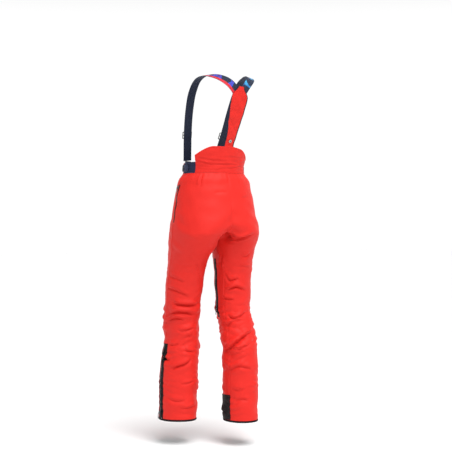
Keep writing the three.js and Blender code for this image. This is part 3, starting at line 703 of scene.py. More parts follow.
def elastic(name, a, b):
    g = Graph(name, a, 0.75, 0.0, 0.3, 0.25, (0.6, 0.7, 1.0, 1))
    v = g.uv()
    x = g.node("ShaderNodeSeparateXYZ")
    g.link(v, x.inputs[0])
    r = g.math("SINE", g.math("MULTIPLY", x.outputs[1], 2 * math.pi / 0.0031))
    q = g.math("SINE", g.math("MULTIPLY", x.outputs[0], 2 * math.pi / 0.0012))
    g.bump(r, 0.0005, 0.8)
    g.bump(q, 0.0001, 0.5)
    # painted shade: the colour follows the rib bump, darker navy in the hollows between the ribs and lighter on their
    # crests
    g.paint(g.mix(g.math("MULTIPLY_ADD", r, 0.35, 0.5), b, a))
    return g.m


def printed_web(name, stripe):
    """Navy webbing with a plain abstract print of slanted brush shapes, and a red stripe along one edge where stripe is set."""
    g = Graph(name, (0.010, 0.020, 0.055), 0.62, 0.0, 0.35, 0.12, (0.7, 0.8, 1, 1))
    v = g.uv()
    x = g.node("ShaderNodeSeparateXYZ")
    g.link(v, x.inputs[0])
    u, w = x.outputs[0], x.outputs[1]
    # shapes stretched along a slant
    s = g.math("ADD", g.math("MULTIPLY", u, 20.0), g.math("MULTIPLY", w, 7.0))
    t = g.math("SUBTRACT", g.math("MULTIPLY", w, 26.0), g.math("MULTIPLY", u, 15.0))
    c = g.node("ShaderNodeCombineXYZ")
    g.link(s, c.inputs[0])
    g.link(t, c.inputs[1])
    n1 = g.noise(c.outputs[0], 0.9, 1.0, 0.4)
    c2 = g.node("ShaderNodeCombineXYZ", Z=7.3)
    g.link(g.math("MULTIPLY", s, 1.7), c2.inputs[0])
    g.link(g.math("MULTIPLY", t, 0.9), c2.inputs[1])
    n2 = g.noise(c2.outputs[0], 1.1, 1.0, 0.4)
    navy, blue, cyan, pale = (0.009, 0.018, 0.045), (0.015, 0.085, 0.62), (0.05, 0.42, 0.72), (0.55, 0.70, 0.80)
    if stripe:
        a = g.ramp(n1, [(0.0, navy), (0.50, navy), (0.515, blue), (0.60, (0.10, 0.03, 0.36)), (0.66, navy), (1.0, navy)])
    else:
        a = g.ramp(n1, [(0.0, navy), (0.52, navy), (0.535, (0.012, 0.10, 0.34)), (0.60, cyan), (0.64, navy), (1.0, navy)])
    f = g.ramp(n2, [(0.0, (0, 0, 0)), (0.63, (0, 0, 0)), (0.645, (1, 1, 1)), (1.0, (1, 1, 1))])
    bw = g.node("ShaderNodeRGBToBW")
    g.link(f, bw.inputs[0])
    col = g.mix(bw.outputs[0], a, pale if stripe else cyan)
    # plain selvedges
    e = g.math("ABSOLUTE", g.math("SUBTRACT", u, 0.018))
    edge = g.math("GREATER_THAN", e, 0.0158)
    col = g.mix(edge, col, navy)
    if stripe:
        r = g.math("LESS_THAN", g.math("SUBTRACT", u, g.math("MULTIPLY", g.math("SINE", g.math("MULTIPLY", w, 21.0)), 0.0012)), 0.0105)
        col = g.mix(r, col, (0.66, 0.02, 0.035))
    rib = g.math("SINE", g.math("MULTIPLY", u, 2 * math.pi / 0.0018))
    wef = g.math("SINE", g.math("MULTIPLY", w, 2 * math.pi / 0.0011))
    g.bump(rib, 0.00022, 0.6)
    g.bump(wef, 0.00012, 0.5)
    g.paint(col)
    return g.m


def plain(name, color, rough, metal=0.0, spec=0.5, coat=0.0, grain=60, var=0.25):
    g = Graph(name, color, rough, metal, spec, 0, (1, 1, 1, 1), coat)
    n = g.noise(g.obj(), grain, 3, 0.6)
    dark = tuple(c * (1 - var) for c in color)
    g.paint(g.mix(n, color, dark))
    r = g.node("ShaderNodeMapRange")
    r.inputs["To Min"].default_value = rough * 0.85
    r.inputs["To Max"].default_value = min(1, rough * 1.2)
    g.link(n, r.inputs["Value"])
    g.link(r.outputs[0], g.b.inputs["Roughness"])
    g.bump(g.noise(g.obj(), grain * 8, 2, 0.5), 0.0001, 0.25)
    return g.m


MATS["guard"] = guard_cloth()
MATS["navy"] = elastic("navy_ribbed_elastic", (0.014, 0.022, 0.075), (0.004, 0.006, 0.022))
MATS["navytab"] = fabric("navy_tab_cloth", (0.012, 0.018, 0.055), (0.007, 0.010, 0.035), 0.65, 0.0012, 0.15, (0.6, 0.7, 1, 1), 0.0002)
MATS["webL"] = printed_web("printed_webbing_red_edge", True)
MATS["webR"] = printed_web("printed_webbing_navy", False)
MATS["webback"] = fabric("navy_webbing_back", (0.010, 0.016, 0.040), (0.006, 0.010, 0.026), 0.7, 0.0014, 0.1, (0.7, 0.8, 1, 1), 0.0002)
MATS["plastic"] = plain("black_moulded_plastic", (0.014, 0.014, 0.015), 0.38, 0.0, 0.5, 0.05)
MATS["rubber"] = plain("grey_pull_rubber", (0.30, 0.31, 0.32), 0.55, 0.0, 0.4)
MATS["coil"] = plain("black_zip_coil", (0.012, 0.012, 0.013), 0.32, 0.0, 0.5)
MATS["metal"] = plain("brushed_grey_metal", (0.50, 0.49, 0.47), 0.30, 1.0, 0.5, 0.0, 120, 0.3)
MATS["darkmetal"] = plain("gunmetal", (0.20, 0.20, 0.205), 0.34, 1.0, 0.5, 0.0, 120, 0.3)
MATS["thread"] = plain("red_thread", (0.70, 0.025, 0.022), 0.5, 0.0, 0.4, 0, 400, 0.3)
MATS["thread_dark"] = plain("dark_thread", (0.020, 0.008, 0.010), 0.55, 0.0, 0.4, 0, 400, 0.3)
MATS["thread_grey"] = plain("grey_thread", (0.10, 0.10, 0.11), 0.55, 0.0, 0.4, 0, 400, 0.3)

# ------------------------------------------------------------------ trousers: one continuous cloth surface per side, cut at SPLIT
cl = np.array([0, 0.035, 0.075, 0.125, 0.2, 0.3, 0.42, 0.56, 0.7, 0.85, 1.0])
FR = [cl, np.linspace(0, 1, 12), np.linspace(0, 1, 60), np.linspace(0, 1, 14),
      np.concatenate([np.linspace(0, 1, 61)[:-3], 1 - np.array([0.034, 0.024, 0.016, 0.010, 0.005, 0.0])])]


def cuts(side, z):
    m = metric(side, VENT_S, z)
    k = smooth((z + 365) / 75)
    a0 = np.where(z > CROTCH, np.where(z > FLY_END, 5.2 / metric(side, 0.01, z), 0.0), inseam(z))
    v0 = (VENT_S - VENT_W / 2 / m) * (1 - k) + 0.028 * k
    v1 = (VENT_S + VENT_W / 2 / m) * (1 - k) + 0.085 * k
    h = metric(side, 0.5, z)
    half = np.where(z > POCKET_END - 1, 5.0, 6.0) / h
    q = smooth((-660 - z) / 44)
    ms = metric(side, SIDE_S, z)
    w0 = (0.5 - half) * (1 - q) + (SIDE_S - SIDE_W / 2 / ms) * q
    w1 = (0.5 + half) * (1 - q) + (SIDE_S + SIDE_W / 2 / ms) * q
    a5 = np.where(z > CROTCH, 1.0, 1 + inseam(z))
    return [a0, v0, v1, w0, w1, a5]


ROWS = [-0.45, -1.6, -3.2, -5.2, -7.5, -10, -13, -16, -19, -22, -25.5, -29, -32.5, -36, -39.5, -43]
for a, b in ((POCKET_TOP, POCKET_TOP - 1), (POCKET_TOP - 1, FLY_END + 1), (FLY_END + 1, FLY_END - 1), (FLY_END - 1, POCKET_END), (POCKET_END, CROTCH), (CROTCH, VENT_TOP), (VENT_TOP, SPLIT),
             (SPLIT, VENT_END), (VENT_END, SIDE_TOP), (SIDE_TOP, HEM_Z + 0.5)):
    n = max(1, int(round((a - b) / 3.1)))
    ROWS += [a + (b - a) * k / n for k in range(n)]
ROWS.append(HEM_Z + 0.5)
ROWS = np.array(ROWS)


def cloth(side, S, Z):
    """Displaced points, and their outward directions, anywhere on a side's cloth."""
    P = surf(side, S, Z)
    Sn = np.where(Z > CROTCH, np.clip(S, 0.004, 0.996), S)
    N = normal(side, Sn, Z)
    N[..., 2] *= 0.6
    N /= np.linalg.norm(N, axis=-1, keepdims=True)
    D = relief(side, S, Z, P) + lines(side, S, Z, P)
    cen = Z > CROTCH - 6
    w = np.exp(-((P[..., 0] / 3.4) ** 2)) * cen
    D = D * (1 - w) - 0.5 * w + centre_height(P)
    N[..., 0] *= 1 - w
    N /= np.maximum(np.linalg.norm(N, axis=-1, keepdims=True), 1e-9)
    Q = P + N * D[..., None]
    x = side * Q[..., 0]
    Q[..., 0] = np.where(cen, side * np.maximum(x, 0.12), Q[..., 0])
    return Q, N, D


SURF = {}
for side in (1, -1):
    L = "left" if side > 0 else "right"
    E = cuts(side, ROWS)
    cols, tag = [], []
    for k, fr in enumerate(FR):
        f = fr if k == 0 else fr[1:]
        cols.append(E[k][:, None] + (E[k + 1] - E[k])[:, None] * f[None])
        tag += [k] * (len(fr) - 1)
    S = np.concatenate(cols, 1)
    Z = np.broadcast_to(ROWS[:, None], S.shape).copy()
    Q, N, D = cloth(side, S, Z)
    tag = np.array(tag)
    zc = 0.5 * (ROWS[1:] + ROWS[:-1])
    mask = np.ones((len(ROWS) - 1, S.shape[1] - 1), bool)
    mask[np.ix_((zc < VENT_TOP) & (zc > VENT_END), tag == 1)] = False
    mask[np.ix_((zc < POCKET_TOP - 1) & (zc > POCKET_END), tag == 3)] = False
    mask[np.ix_(zc < SIDE_TOP, tag == 3)] = False
    SURF[side] = (S, Z, Q, N, D)
    U, V = S * 0.50, Z * 0.001
    cut = int(np.argmin(np.abs(ROWS - SPLIT)))
    weld = ROWS <= CROTCH + 1e-6

    def slab_of(name, r0, r1, clamp):
        sl = slice(r0, r1)
        Pn, Nn = Q[sl], N[sl].copy()
        th = np.full(Pn.shape[:2], SHELL)
        if clamp:
            # where the two sides meet, set back along the body instead of across the middle
            near = (np.abs(Pn[..., 0]) < 8) & (Z[sl] > CROTCH - 1)
            Nn[near, 0] *= np.clip((np.abs(Pn[near][:, 0]) - 0.2) / 8, 0, 1)
            Nn /= np.linalg.norm(Nn, axis=-1, keepdims=True)
            over = side * (Pn - Nn * SHELL)[..., 0] < 0.12
            over &= Z[sl] > CROTCH - 1
            Nn[over, 0] = 0
            Nn /= np.maximum(np.linalg.norm(Nn, axis=-1, keepdims=True), 1e-9)
        return shell(name, Pn, Nn, th, ["red", "lining", "red"], U[sl], V[sl], mask[r0:r1 - 1], weld[sl], rim=2, inner=1)

    o = slab_of(L + "_hip_and_thigh", 0, cut + 1, True)
    nodes = [L + "_front_panel", L + "_back_panel", L + "_thigh_front", L + "_thigh_back", "seat_section"]
    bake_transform(o)
    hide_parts(*nodes)
    o = slab_of(L + "_lower_leg", cut, len(ROWS), False)
    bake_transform(o)
    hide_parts(L + "_knee_section", L + "_shank_front", L + "_shank_back")

# ------------------------------------------------------------------ zips
def chain(b, P, N, T, gauge=2.3, pitch=2.0, m=1):
    """Interlocked teeth along a line: P points, N outward, T across; all at tooth spacing."""
    d = np.concatenate([[0], np.cumsum(np.linalg.norm(np.diff(P, axis=0), axis=1))])
    for k, c in enumerate(np.arange(pitch / 2, d[-1] - pitch / 2, pitch / 2)):
        p, n, t = (np.array([np.interp(c, d, A[:, q]) for q in range(3)]) for A in (P, N, T))
        a = np.array([np.interp(c + 0.5, d, P[:, q]) for q in range(3)]) - np.array([np.interp(c - 0.5, d, P[:, q]) for q in range(3)])
        s = 1 if k % 2 else -1
        M = basis(p, n, a)
        w, h, l = gauge * 0.62, 0.75, pitch * 0.30
        cx0 = s * gauge * 0.36
        v = [(cx0 + i * w, j * h + 0.55, q * l) for i in (-1, 1) for j in (-1, 1) for q in (-1, 1)]
        v = [(x, y * (0.72 if abs(x) > gauge * 0.8 else 1), z) for x, y, z in v]
        b.add(place(np.array(v), M), [[0, 1, 3, 2], [4, 6, 7, 5], [0, 4, 5, 1], [2, 3, 7, 6], [0, 2, 6, 4], [1, 5, 7, 3]], m)


def slab_bits(b, P, N, thick, mi, mi_back=None):
    """Adds a closed slab between a grid and its set-back copy to a collection of solids; mi gives each column's material."""
    R, C = P.shape[:2]
    I = P - N * thick
    v = np.vstack([P.reshape(-1, 3), I.reshape(-1, 3)])
    f, m = [], []
    g = np.cross(P[1, 0] - P[0, 0], P[0, 1] - P[0, 0]) @ N[0, 0]
    NN = R * C
    for i in range(R - 1):
        for j in range(C - 1):
            a = [i * C + j, (i + 1) * C + j, (i + 1) * C + j + 1, i * C + j + 1]
            f.append(a)
            f.append([q + NN for q in a][::-1])
            m += [mi[j], mi[j] if mi_back is None else mi_back]
    loop = [(i * C, (i + 1) * C) for i in range(R - 1)] + [((R - 1) * C + j, (R - 1) * C + j + 1) for j in range(C - 1)]
    loop += [((i + 1) * C + C - 1, i * C + C - 1) for i in range(R - 1)][::-1] + [(j + 1, j) for j in range(C - 1)][::-1]
    for p, q in loop:
        f.append([q, p, p + NN, q + NN])
        m.append(mi[0] if p % C == 0 else mi[-1])
    if g < 0:
        f = [q[::-1] for q in f]
    b.v.append(v)
    b.f += [[q + b.n for q in a] for a in f]
    b.m += m
    b.n += len(v)


def slider(b, M, w=9.0, pull=26.0, m_body=0, m_pull=0, m_tip=1, tip=True, top=6.6, drop=-11.0):
    b.box((w, 1.2, 13), (0, 1.3, 0), 0.5, m_body, M)
    b.box((w, 1.2, 11.5), (0, 4.4, 0.4), 0.5, m_body, M)
    b.box((2.4, 2.6, 4), (0, 2.8, 4.2), 0.3, m_body, M)
    b.box((1.0, 1.6, 12.4), (-w / 2 + 0.5, 1.9, 0), 0.3, m_body, M)
    b.box((1.0, 1.6, 12.4), (w / 2 - 0.5, 1.9, 0), 0.3, m_body, M)
    # the bridge the pull hangs on
    arch = [(0, 4.6, -4.2), (0, 5.6, -3.6), (0, 6.1, -2.0), (0, 6.1, 0.6), (0, 5.6, 2.2), (0, 4.6, 2.8)]
    b.tube(catmull(arch, 14), 0.75, 8, m_body, M)
    if pull:
        z0 = 1.6
        ring = [(1.7 * math.cos(a), top - 0.9 + 0.0 * a, z0 - 2.6 + 2.4 * math.sin(a)) for a in np.linspace(0, 2 * np.pi, 22, endpoint=False)]
        b.tube(ring, 0.55, 8, m_pull, M, closed=True)
        L = pull * (0.42 if tip else 0.8)
        b.box((3.6, 1.3, L), (0, top, z0 - 4.2 - L / 2), 0.5, m_pull, M)
        if tip:
            b.box((4.2, 2.1, pull * 0.46), (0, top, z0 - 4.2 - L - pull * 0.46 / 2 + 1.5), 0.8, m_tip, M)


def strip_grid(side, zs, s0, s1, cols, lift, follow=1.0):
    """Points on the cloth between two lines round the leg."""
    f = np.linspace(0, 1, cols)
    S = s0(zs)[:, None] + (s1(zs) - s0(zs))[:, None] * f[None]
    Z = np.broadcast_to(zs[:, None], S.shape)
    P = surf(side, S, Z)
    N = normal(side, S, Z)
    N[..., 2] *= 0.6
    N /= np.linalg.norm(N, axis=-1, keepdims=True)
    D = relief(side, S, Z, P) * follow
    return P + N * (D + lift)[..., None], N, S


for side in (1, -1):
    L = "left" if side > 0 else "right"
    # inner-thigh vent
    zs = np.linspace(VENT_TOP - 0.4, VENT_END + 0.4, 90)
    P, N, S = strip_grid(side, zs, lambda z: VENT_S - (VENT_W / 2 - 0.2) / metric(side, VENT_S, z), lambda z: VENT_S + (VENT_W / 2 - 0.2) / metric(side, VENT_S, z), 15, -1.3)
    # two narrow flaps stand slightly proud beside the coil
    k = np.abs(np.linspace(-1, 1, 15)) * VENT_W / 2
    P = P + N * (0.9 * np.exp(-(((k - 5.2) / 2.0) ** 2)))[None, :, None]
    b = Bits()
    slab_bits(b, P, N, 1.5, [0] * 14)
    mid = P[:, 7] + N[:, 7] * 0.2
    chain(b, mid, N[:, 7], None if False else np.gradient(P, axis=1)[:, 7], 2.4, 2.2, 1)
    for col in (3, 11):
        b.stitches(P[:, col], N[:, col], 3.4, 2.3, 0.32, 0.3, 2)
    o = b.object(L + "_vent_zip", ["tape", "coil", "thread_grey"])
    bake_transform(o)
    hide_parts(L + "_vent_zip_panel")
    a, e = surf(side, VENT_S, -368.0), surf(side, VENT_S, -566.0)
    n = normal(side, VENT_S, -470.0)
    b = Bits()
    slider(b, basis(e + n * 0.4, n, a - e), 8.5, 24, 0, 0, 1, True, 7.0)
    o = b.object(L + "_vent_zip_pull", ["darkmetal", "rubber"])
    done(o, L + "_vent_slider", [L + "_vent_zip_slider"])
    # lower-leg side zip: black tape behind the teeth, a maroon facing before them
    zs = np.linspace(SIDE_TOP - 0.4, HEM_Z + 0.9, 110)
    P, N, S = strip_grid(side, zs, lambda z: SIDE_S - (SIDE_W / 2 - 0.2) / metric(side, SIDE_S, z), lambda z: SIDE_S + (SIDE_W / 2 - 0.2) / metric(side, SIDE_S, z), 19, -1.2)
    k = np.linspace(-1, 1, 19) * SIDE_W / 2
    P = P + N * (1.0 * np.exp(-(((k + 6.5) / 3.0) ** 2)))[None, :, None]
    b = Bits()
    slab_bits(b, P, N, 1.6, [1 if q < 9 else 0 for q in range(18)])
    chain(b, P[:, 9] + N[:, 9] * 0.25, N[:, 9], N[:, 9], 2.7, 2.4, 2)
    b.stitches(P[:, 4], N[:, 4], 3.6, 2.4, 0.34, 0.32, 3)
    b.stitches(P[:, 14], N[:, 14], 3.6, 2.4, 0.34, 0.32, 4)
    o = b.object(L + "_side_zip", ["tape", "maroon", "coil", "thread_dark", "thread_grey"])
    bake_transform(o)
    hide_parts(L + "_side_zip_panel")
    a, e = surf(side, SIDE_S, -750.0), surf(side, SIDE_S, HEM_Z + 24)
    n = normal(side, SIDE_S, -880.0)
    b = Bits()
    slider(b, basis(e + n * 0.6, n, a - e), 9, 28, 0, 0, 1, True, 7.4)
    o = b.object(L + "_side_zip_pull", ["darkmetal", "rubber"])
    done(o, L + "_side_slider", [L + "_side_zip_slider"])
    # hand pocket
    zs = np.linspace(POCKET_TOP - 1.2, POCKET_END + 0.3, 60)
    P, N, S = strip_grid(side, zs, lambda z: 0.5 - 4.8 / metric(side, 0.5, z), lambda z: 0.5 + 4.8 / metric(side, 0.5, z), 9, -1.4)
    b = Bits()
    slab_bits(b, P, N, 1.5, [0] * 8)
    chain(b, P[:, 4] + N[:, 4] * 0.2, N[:, 4], N[:, 4], 2.1, 2.0, 1)
    o = b.object(L + "_pocket_zip", ["tape", "coil"])
    done(o, "pelvis", [L + "_pocket_zip_chain"])
    pa, pb = surf(side, 0.5, POCKET_TOP - 10), surf(side, 0.5, POCKET_END + 12)
    b = Bits()
    slider(b, basis((pa[0] + side * 2.8, pa[1], pa[2] - 2), (side, 0, 0), pa - pb), 8.4, 26, 0, 0, 1, True, 6.6)
    o = b.object(L + "_pocket_zip_pull", ["darkmetal", "rubber"])
    done(o, L + "_pocket_slider", [L + "_pocket_zip_slider"])
# fly
zs = np.linspace(-1.0, FLY_END + 0.6, 70)
p = surf(1, np.zeros_like(zs), zs)
x = np.linspace(-5.0, 5.0, 9)
P = np.stack([np.broadcast_to(x, (70, 9)), np.broadcast_to(p[:, 1][:, None], (70, 9)), np.broadcast_to(zs[:, None], (70, 9))], -1).copy()
D0 = 4.2 * np.exp(-(((zs + 22) / 15) ** 2)) * smooth((2 - zs) / 7) * 0.6
P[..., 1] += 0.9 - D0[:, None]
N = np.broadcast_to(np.array([0, -1.0, 0]), P.shape).copy()
b = Bits()
slab_bits(b, P, N, 1.6, [0] * 8)
chain(b, P[:, 4] + N[:, 4] * 0.2, N[:, 4], N[:, 4], 2.4, 2.2, 1)
o = b.object("fly_zip", ["tape", "coil"])
done(o, "pelvis", ["fly_zip_chain"])
flyA, flyB = surf(1, 0.0, -4.0), surf(1, 0.0, FLY_END + 3)
up = (flyA - flyB) * np.array([0, 1, 1])
MF = basis((0, flyA[1] - 1.2, -10), (0, -1, 0), up)
b = Bits()
slider(b, MF, 9.2, 0, 0)
o = b.object("fly_zip_slider_body", ["darkmetal"])
done(o, "fly_slider", ["fly_zip_slider"])
b = Bits()
b.tube([(1.5 * math.cos(a), 7.2 + 0.3 * math.sin(a), 0.2 + 2.3 * math.sin(a)) for a in np.linspace(0, 2 * np.pi, 22, endpoint=False)], 0.55, 8, 0, MF, closed=True)
b.box((3.8, 1.4, 12), (0, 7.5, -7.6), 0.5, 0, MF)
b.box((4.3, 2.0, 15), (0, 7.5, -20.5), 0.8, 1, MF)
o = b.object("fly_zip_pull_tab", ["darkmetal", "rubber"])
done(o, "fly_pull", ["fly_zip_pull"])

# ------------------------------------------------------------------ waist
EA, EH = np.array([0, 30, 40, 50, 60, 75, 90, 120, 180.0]), np.array([108, 103, 94, 82, 69, 54, 45, 38, 38.0])


def top_edge(phi):
    a = np.abs(phi)
    return np.interp(a, EA, EH) + np.where(a < 100, 6 * np.sin(phi * np.pi / 100) * smooth(a / 30), 0)


def smooth_edge(phi):
    return sum(top_edge(phi + d) * w for d, w in ((-4, 0.2), (-2, 0.2), (0, 0.2), (2, 0.2), (4, 0.2)))


def pipe(b, P, N, r, m, squash=1.0):
    b.tube(P, r, 10, m)


# back yoke
REACH = 62.0
cols, rows = 140, 44
phi = np.linspace(REACH, -REACH, cols)
zt = np.minimum(smooth_edge(phi), top_edge(phi) + 0.5)
f = np.linspace(0, 1, rows)[:, None]
Z = zt[None] + (GAP - zt[None]) * f
PHI = np.broadcast_to(phi, Z.shape)
S = 1 - np.abs(PHI) / 180
P = np.where((PHI >= 0)[..., None], surf(1, S, Z), surf(-1, S, Z))
N = np.where((PHI >= 0)[..., None], normal(1, np.minimum(S, 0.995), Z), normal(-1, np.minimum(S, 0.995), Z))
N[..., 2] = 0
mid = np.exp(-((PHI / 3.0) ** 2))[..., None]
N = N * (1 - mid) + np.array([0, 1.0, 0]) * mid
N /= np.linalg.norm(N, axis=-1, keepdims=True)
x = P[..., 0]
# soft slouch folds lying across the small of the back
D = np.zeros_like(Z)
for zc, a, w, x0, wx, tilt in ((34, 2.6, 6.0, 10, 60, 0.05), (24, 1.8, 5.0, -40, 45, -0.10), (52, 1.6, 7, 60, 40, 0.12), (64, 1.2, 7, -30, 55, -0.06), (14, 1.3, 4.5, 50, 40, 0.03), (44, 2.0, 6, -82, 26, -0.2), (40, 2.0, 6, 92, 24, 0.22)):
    q = Z - zc - tilt * (x - x0) - 2.0 * np.sin(x / 23 + zc)
    D += a * np.exp(-(((x - x0) / wx) ** 2)) * (np.exp(-(((q - 0.9 * w) / (0.8 * w)) ** 2)) - 0.9 * np.exp(-((q / (0.45 * w)) ** 2)) + 0.4 * np.exp(-(((q + 1.3 * w) / (0.8 * w)) ** 2)))
D += 0.5 * waves(P.reshape(-1, 3), 77, 40, 90, 8, 0.8).reshape(Z.shape)
edge = np.minimum(zt[None] - Z, Z - GAP)
D = D * smooth(edge / 9) - 0.7 * np.exp(-(((Z - 3.6) / 1.6) ** 2)) - 0.6 * np.exp(-(((zt[None] - Z - 8.0) / 1.4) ** 2))
D += 0.7 * np.exp(-(((zt[None] - Z - 3.4) / 3.0) ** 2))
P = P + N * D[..., None]
o = shell("back_yoke_panel", P, N, SHELL, ["red", "lining", "red"], np.cumsum(np.concatenate([[0], np.linalg.norm(np.diff(P[20], axis=0), axis=1)]))[None].repeat(rows, 0) * 0.001, Z * 0.001, rim=2)
done(o, "pelvis", ["back_yoke"])
b = Bits()
rowTop = 4
st = np.argmin(np.abs((zt[None] - Z) - 6.6), axis=0)
line = P[st, np.arange(cols)]
b.stitches(line, N[0], 3.4, 2.4, 0.36, 0.34, 0)
st = np.argmin(np.abs(Z - 5.6), axis=0)
b.stitches(P[st, np.arange(cols)], N[0], 3.4, 2.4, 0.36, 0.34, 0)
o = b.object("back_yoke_topstitching", ["thread"])
done(o, "pelvis", ())

for side in (1, -1):
    L = "left" if side > 0 else "right"
    e0, e1 = 0.425, 1 - 62 / 180

    def height(s):
        phi = side * (1 - s) * 180
        return np.where(np.abs(phi) > 118, BAND_H, np.minimum(top_edge(phi), BAND_H + 7))

    def band(name, s0, s1, cols, rows, thick, mats, ripple, node, lift=0.0):
        s = np.linspace(s0, s1, cols)
        zt = height(s)
        Z = zt[None] + (GAP - zt[None]) * np.linspace(0, 1, rows)[:, None]
        S = np.broadcast_to(s, Z.shape)
        P, N = surf(side, S, Z), normal(side, np.clip(S, 0.004, 0.996), Z)
        N[..., 2] = 0
        N /= np.linalg.norm(N, axis=-1, keepdims=True)
        D = ripple(S, Z, P, zt) + lift
        P = P + N * D[..., None]
        P[..., 0] = side * np.maximum(side * P[..., 0], GAP)
        Nb = N.copy()
        bad = side * (P - N * thick)[..., 0] < GAP
        Nb[bad] = (0, -1, 0)
        o = shell(name, P, Nb, thick, mats, S * 0.42, Z * 0.001, rim=2)
        done(o, "pelvis", [node])
        return o, P, N, Z

    g = GAP / metric(side, 0.5, 20.0)
    o, P, N, Z = band("front_waistband_" + L, 0.002, e0 - g, 80, 18, SHELL, ["red", "lining", "red"],
                      lambda S, Z, P, zt: 0.5 * waves(P.reshape(-1, 3), 91, 30, 70, 8, 0.6).reshape(Z.shape) * smooth((Z - 2) / 8) * smooth((zt[None] - Z) / 8) + 0.5 * np.exp(-(((zt[None] - Z - 3) / 3) ** 2)) - 0.5 * np.exp(-(((zt[None] - Z - 7) / 1.3) ** 2)), "waistband_" + L)
    b = Bits()
    b.stitches(P[3], N[3], 3.4, 2.4, 0.36, 0.34, 0)
    b.stitches(P[15], N[15], 3.4, 2.4, 0.36, 0.34, 0)
    o = b.object("waistband_stitching_" + L, ["thread"])
    done(o, "pelvis", ())
    # knitted elastic, drawn in between its rows of stitches
    o, P, N, Z = band("side_elastic_panel_" + L, e0 + g, e1 - 2 * g, 90, 40, 2.4, ["navy", "navy", "navy"],
                      lambda S, Z, P, zt: -0.55 + 0.45 * np.cos((Z) * 2 * np.pi / 7.6) + 0.28 * np.sin(S * 420) * (0.6 + 0.4 * np.cos(Z * 2 * np.pi / 7.6)), "side_elastic_" + L)
    # adjuster: a hook-and-loop tab with a stitched grip
    lo, hi = surf(side, 0.5, 5.0), surf(side, 0.5, 35.0)
    M = basis((lo + hi) / 2 + np.array([side * 0.9, -1, 0]), (side, 0, 0), hi - lo)
    b = Bits()
    b.box((45, 2.0, 29.4), (0, 1.6, 0), 0.9, 0, M)
    b.box((10, 2.2, 21.6), (side * 16, 3.5, 0), 0.9, 1, M)
    for q in range(-3, 4):
        b.box((8.6, 0.5, 0.9), (side * 16, 4.65, q * 2.7), 0.2, 1, M)
    out = np.array([side, 0, 0.0])
    ring = [(-20, -12.4), (20, -12.4), (20, 12.4), (-20, 12.4), (-20, -12.4)]
    for (x0, z0), (x1, z1) in zip(ring, ring[1:]):
        ln = np.array([[x0 + (x1 - x0) * t, 2.65, z0 + (z1 - z0) * t] for t in np.linspace(0, 1, 8)])
        W = place(ln, M)
        b.stitches(W, np.broadcast_to(M[1], W.shape), 3.2, 2.2, 0.32, 0.3, 2)
    o = b.object("waist_adjuster_" + L, ["navytab", "plastic", "thread_grey"])
    done(o, "adjuster_" + L, ["adjuster_tab_" + L])

# closure tab: soft corners, stitched round, with a press stud
def front_y(x, z):
    return F["CY0"](z) - F["BF"](z) * np.sqrt(1 - (x / F["OUT"](z)) ** 2)


xs, zs = np.linspace(-40, 30, 60), np.linspace(35, 3, 26)
X, Zz = np.meshgrid(xs, zs)
# round the free end
cr = 10.0
sh = np.clip((-40 + cr) - X, 0, cr)
lim = np.sqrt(np.maximum(0, cr ** 2 - sh ** 2)) - cr
zc = (Zz - 19) / 16
Zz = 19 + np.clip(zc, -1, 1) * (16 + lim * 1.0)
P = np.stack([X, front_y(X, 20.0) - 5.6, Zz], -1)
nx = -X / 130 ** 2 * 102 * 1.6
N = np.stack([nx * 0, -np.ones_like(X), np.zeros_like(X)], -1)
rim_d = np.minimum.reduce([np.abs(X + 40), 16 + lim - np.abs(Zz - 19)])
P[..., 1] -= 0.55 * smooth(rim_d / 3) - 0.35 * np.exp(-(((rim_d - 4.2) / 1.0) ** 2))
o = shell("waist_closure_tab", P, N, 2.4, ["red", "lining", "red"], rim=2)
done(o, "closure_tab", ["closure_tab"])
b = Bits()
for row in (3, 22):
    b.stitches(P[row, 5:], N[row, 5:], 3.2, 2.2, 0.34, 0.32, 0)
b.stitches(P[3:23, 5], N[3:23, 5], 3.2, 2.2, 0.34, 0.32, 0)
o = b.object("closure_tab_stitching", ["thread"])
done(o, "closure_tab", ())


def press_stud(b, M, r=7.0, y0=-1.1, m=0, md=1):
    """A ring-faced snap cap."""
    b.lathe([(0, y0), (r * 0.86, y0), (r * 0.98, y0 + 0.5), (r, y0 + 1.1), (r * 0.95, y0 + 1.7), (r * 0.82, y0 + 2.1), (r * 0.66, y0 + 2.15), (r * 0.58, y0 + 1.8), (0, y0 + 1.6)], 40, m, M)
    b.lathe([(0, y0 + 1.4), (r * 0.42, y0 + 1.4), (r * 0.42, y0 + 1.85), (r * 0.36, y0 + 2.1), (r * 0.2, y0 + 2.25), (0, y0 + 2.3)], 32, md, M)


c = np.array([-26, front_y(-26.0, 20.0), 20.0])
n = np.array([-0.16, -1, 0]) / math.hypot(0.16, 1)
b = Bits()
press_stud(b, basis(c + n * 7.0, n, (0, 0, 1)))
o = b.object("closure_snap", ["metal", "darkmetal"])
done(o, "closure_tab", ["closure_snap_cap"])
b = Bits()
b.lathe([(0, -0.8), (5.2, -0.8), (5.5, -0.2), (5.0, 0.4), (2.6, 0.6), (2.3, 0.8), (0, 0.8)], 32, 0, basis(c + n * 1.6, n, (0, 0, 1)))
o = b.object("closure_snap_socket", ["metal"])
done(o, "pelvis", ["closure_snap_post"])

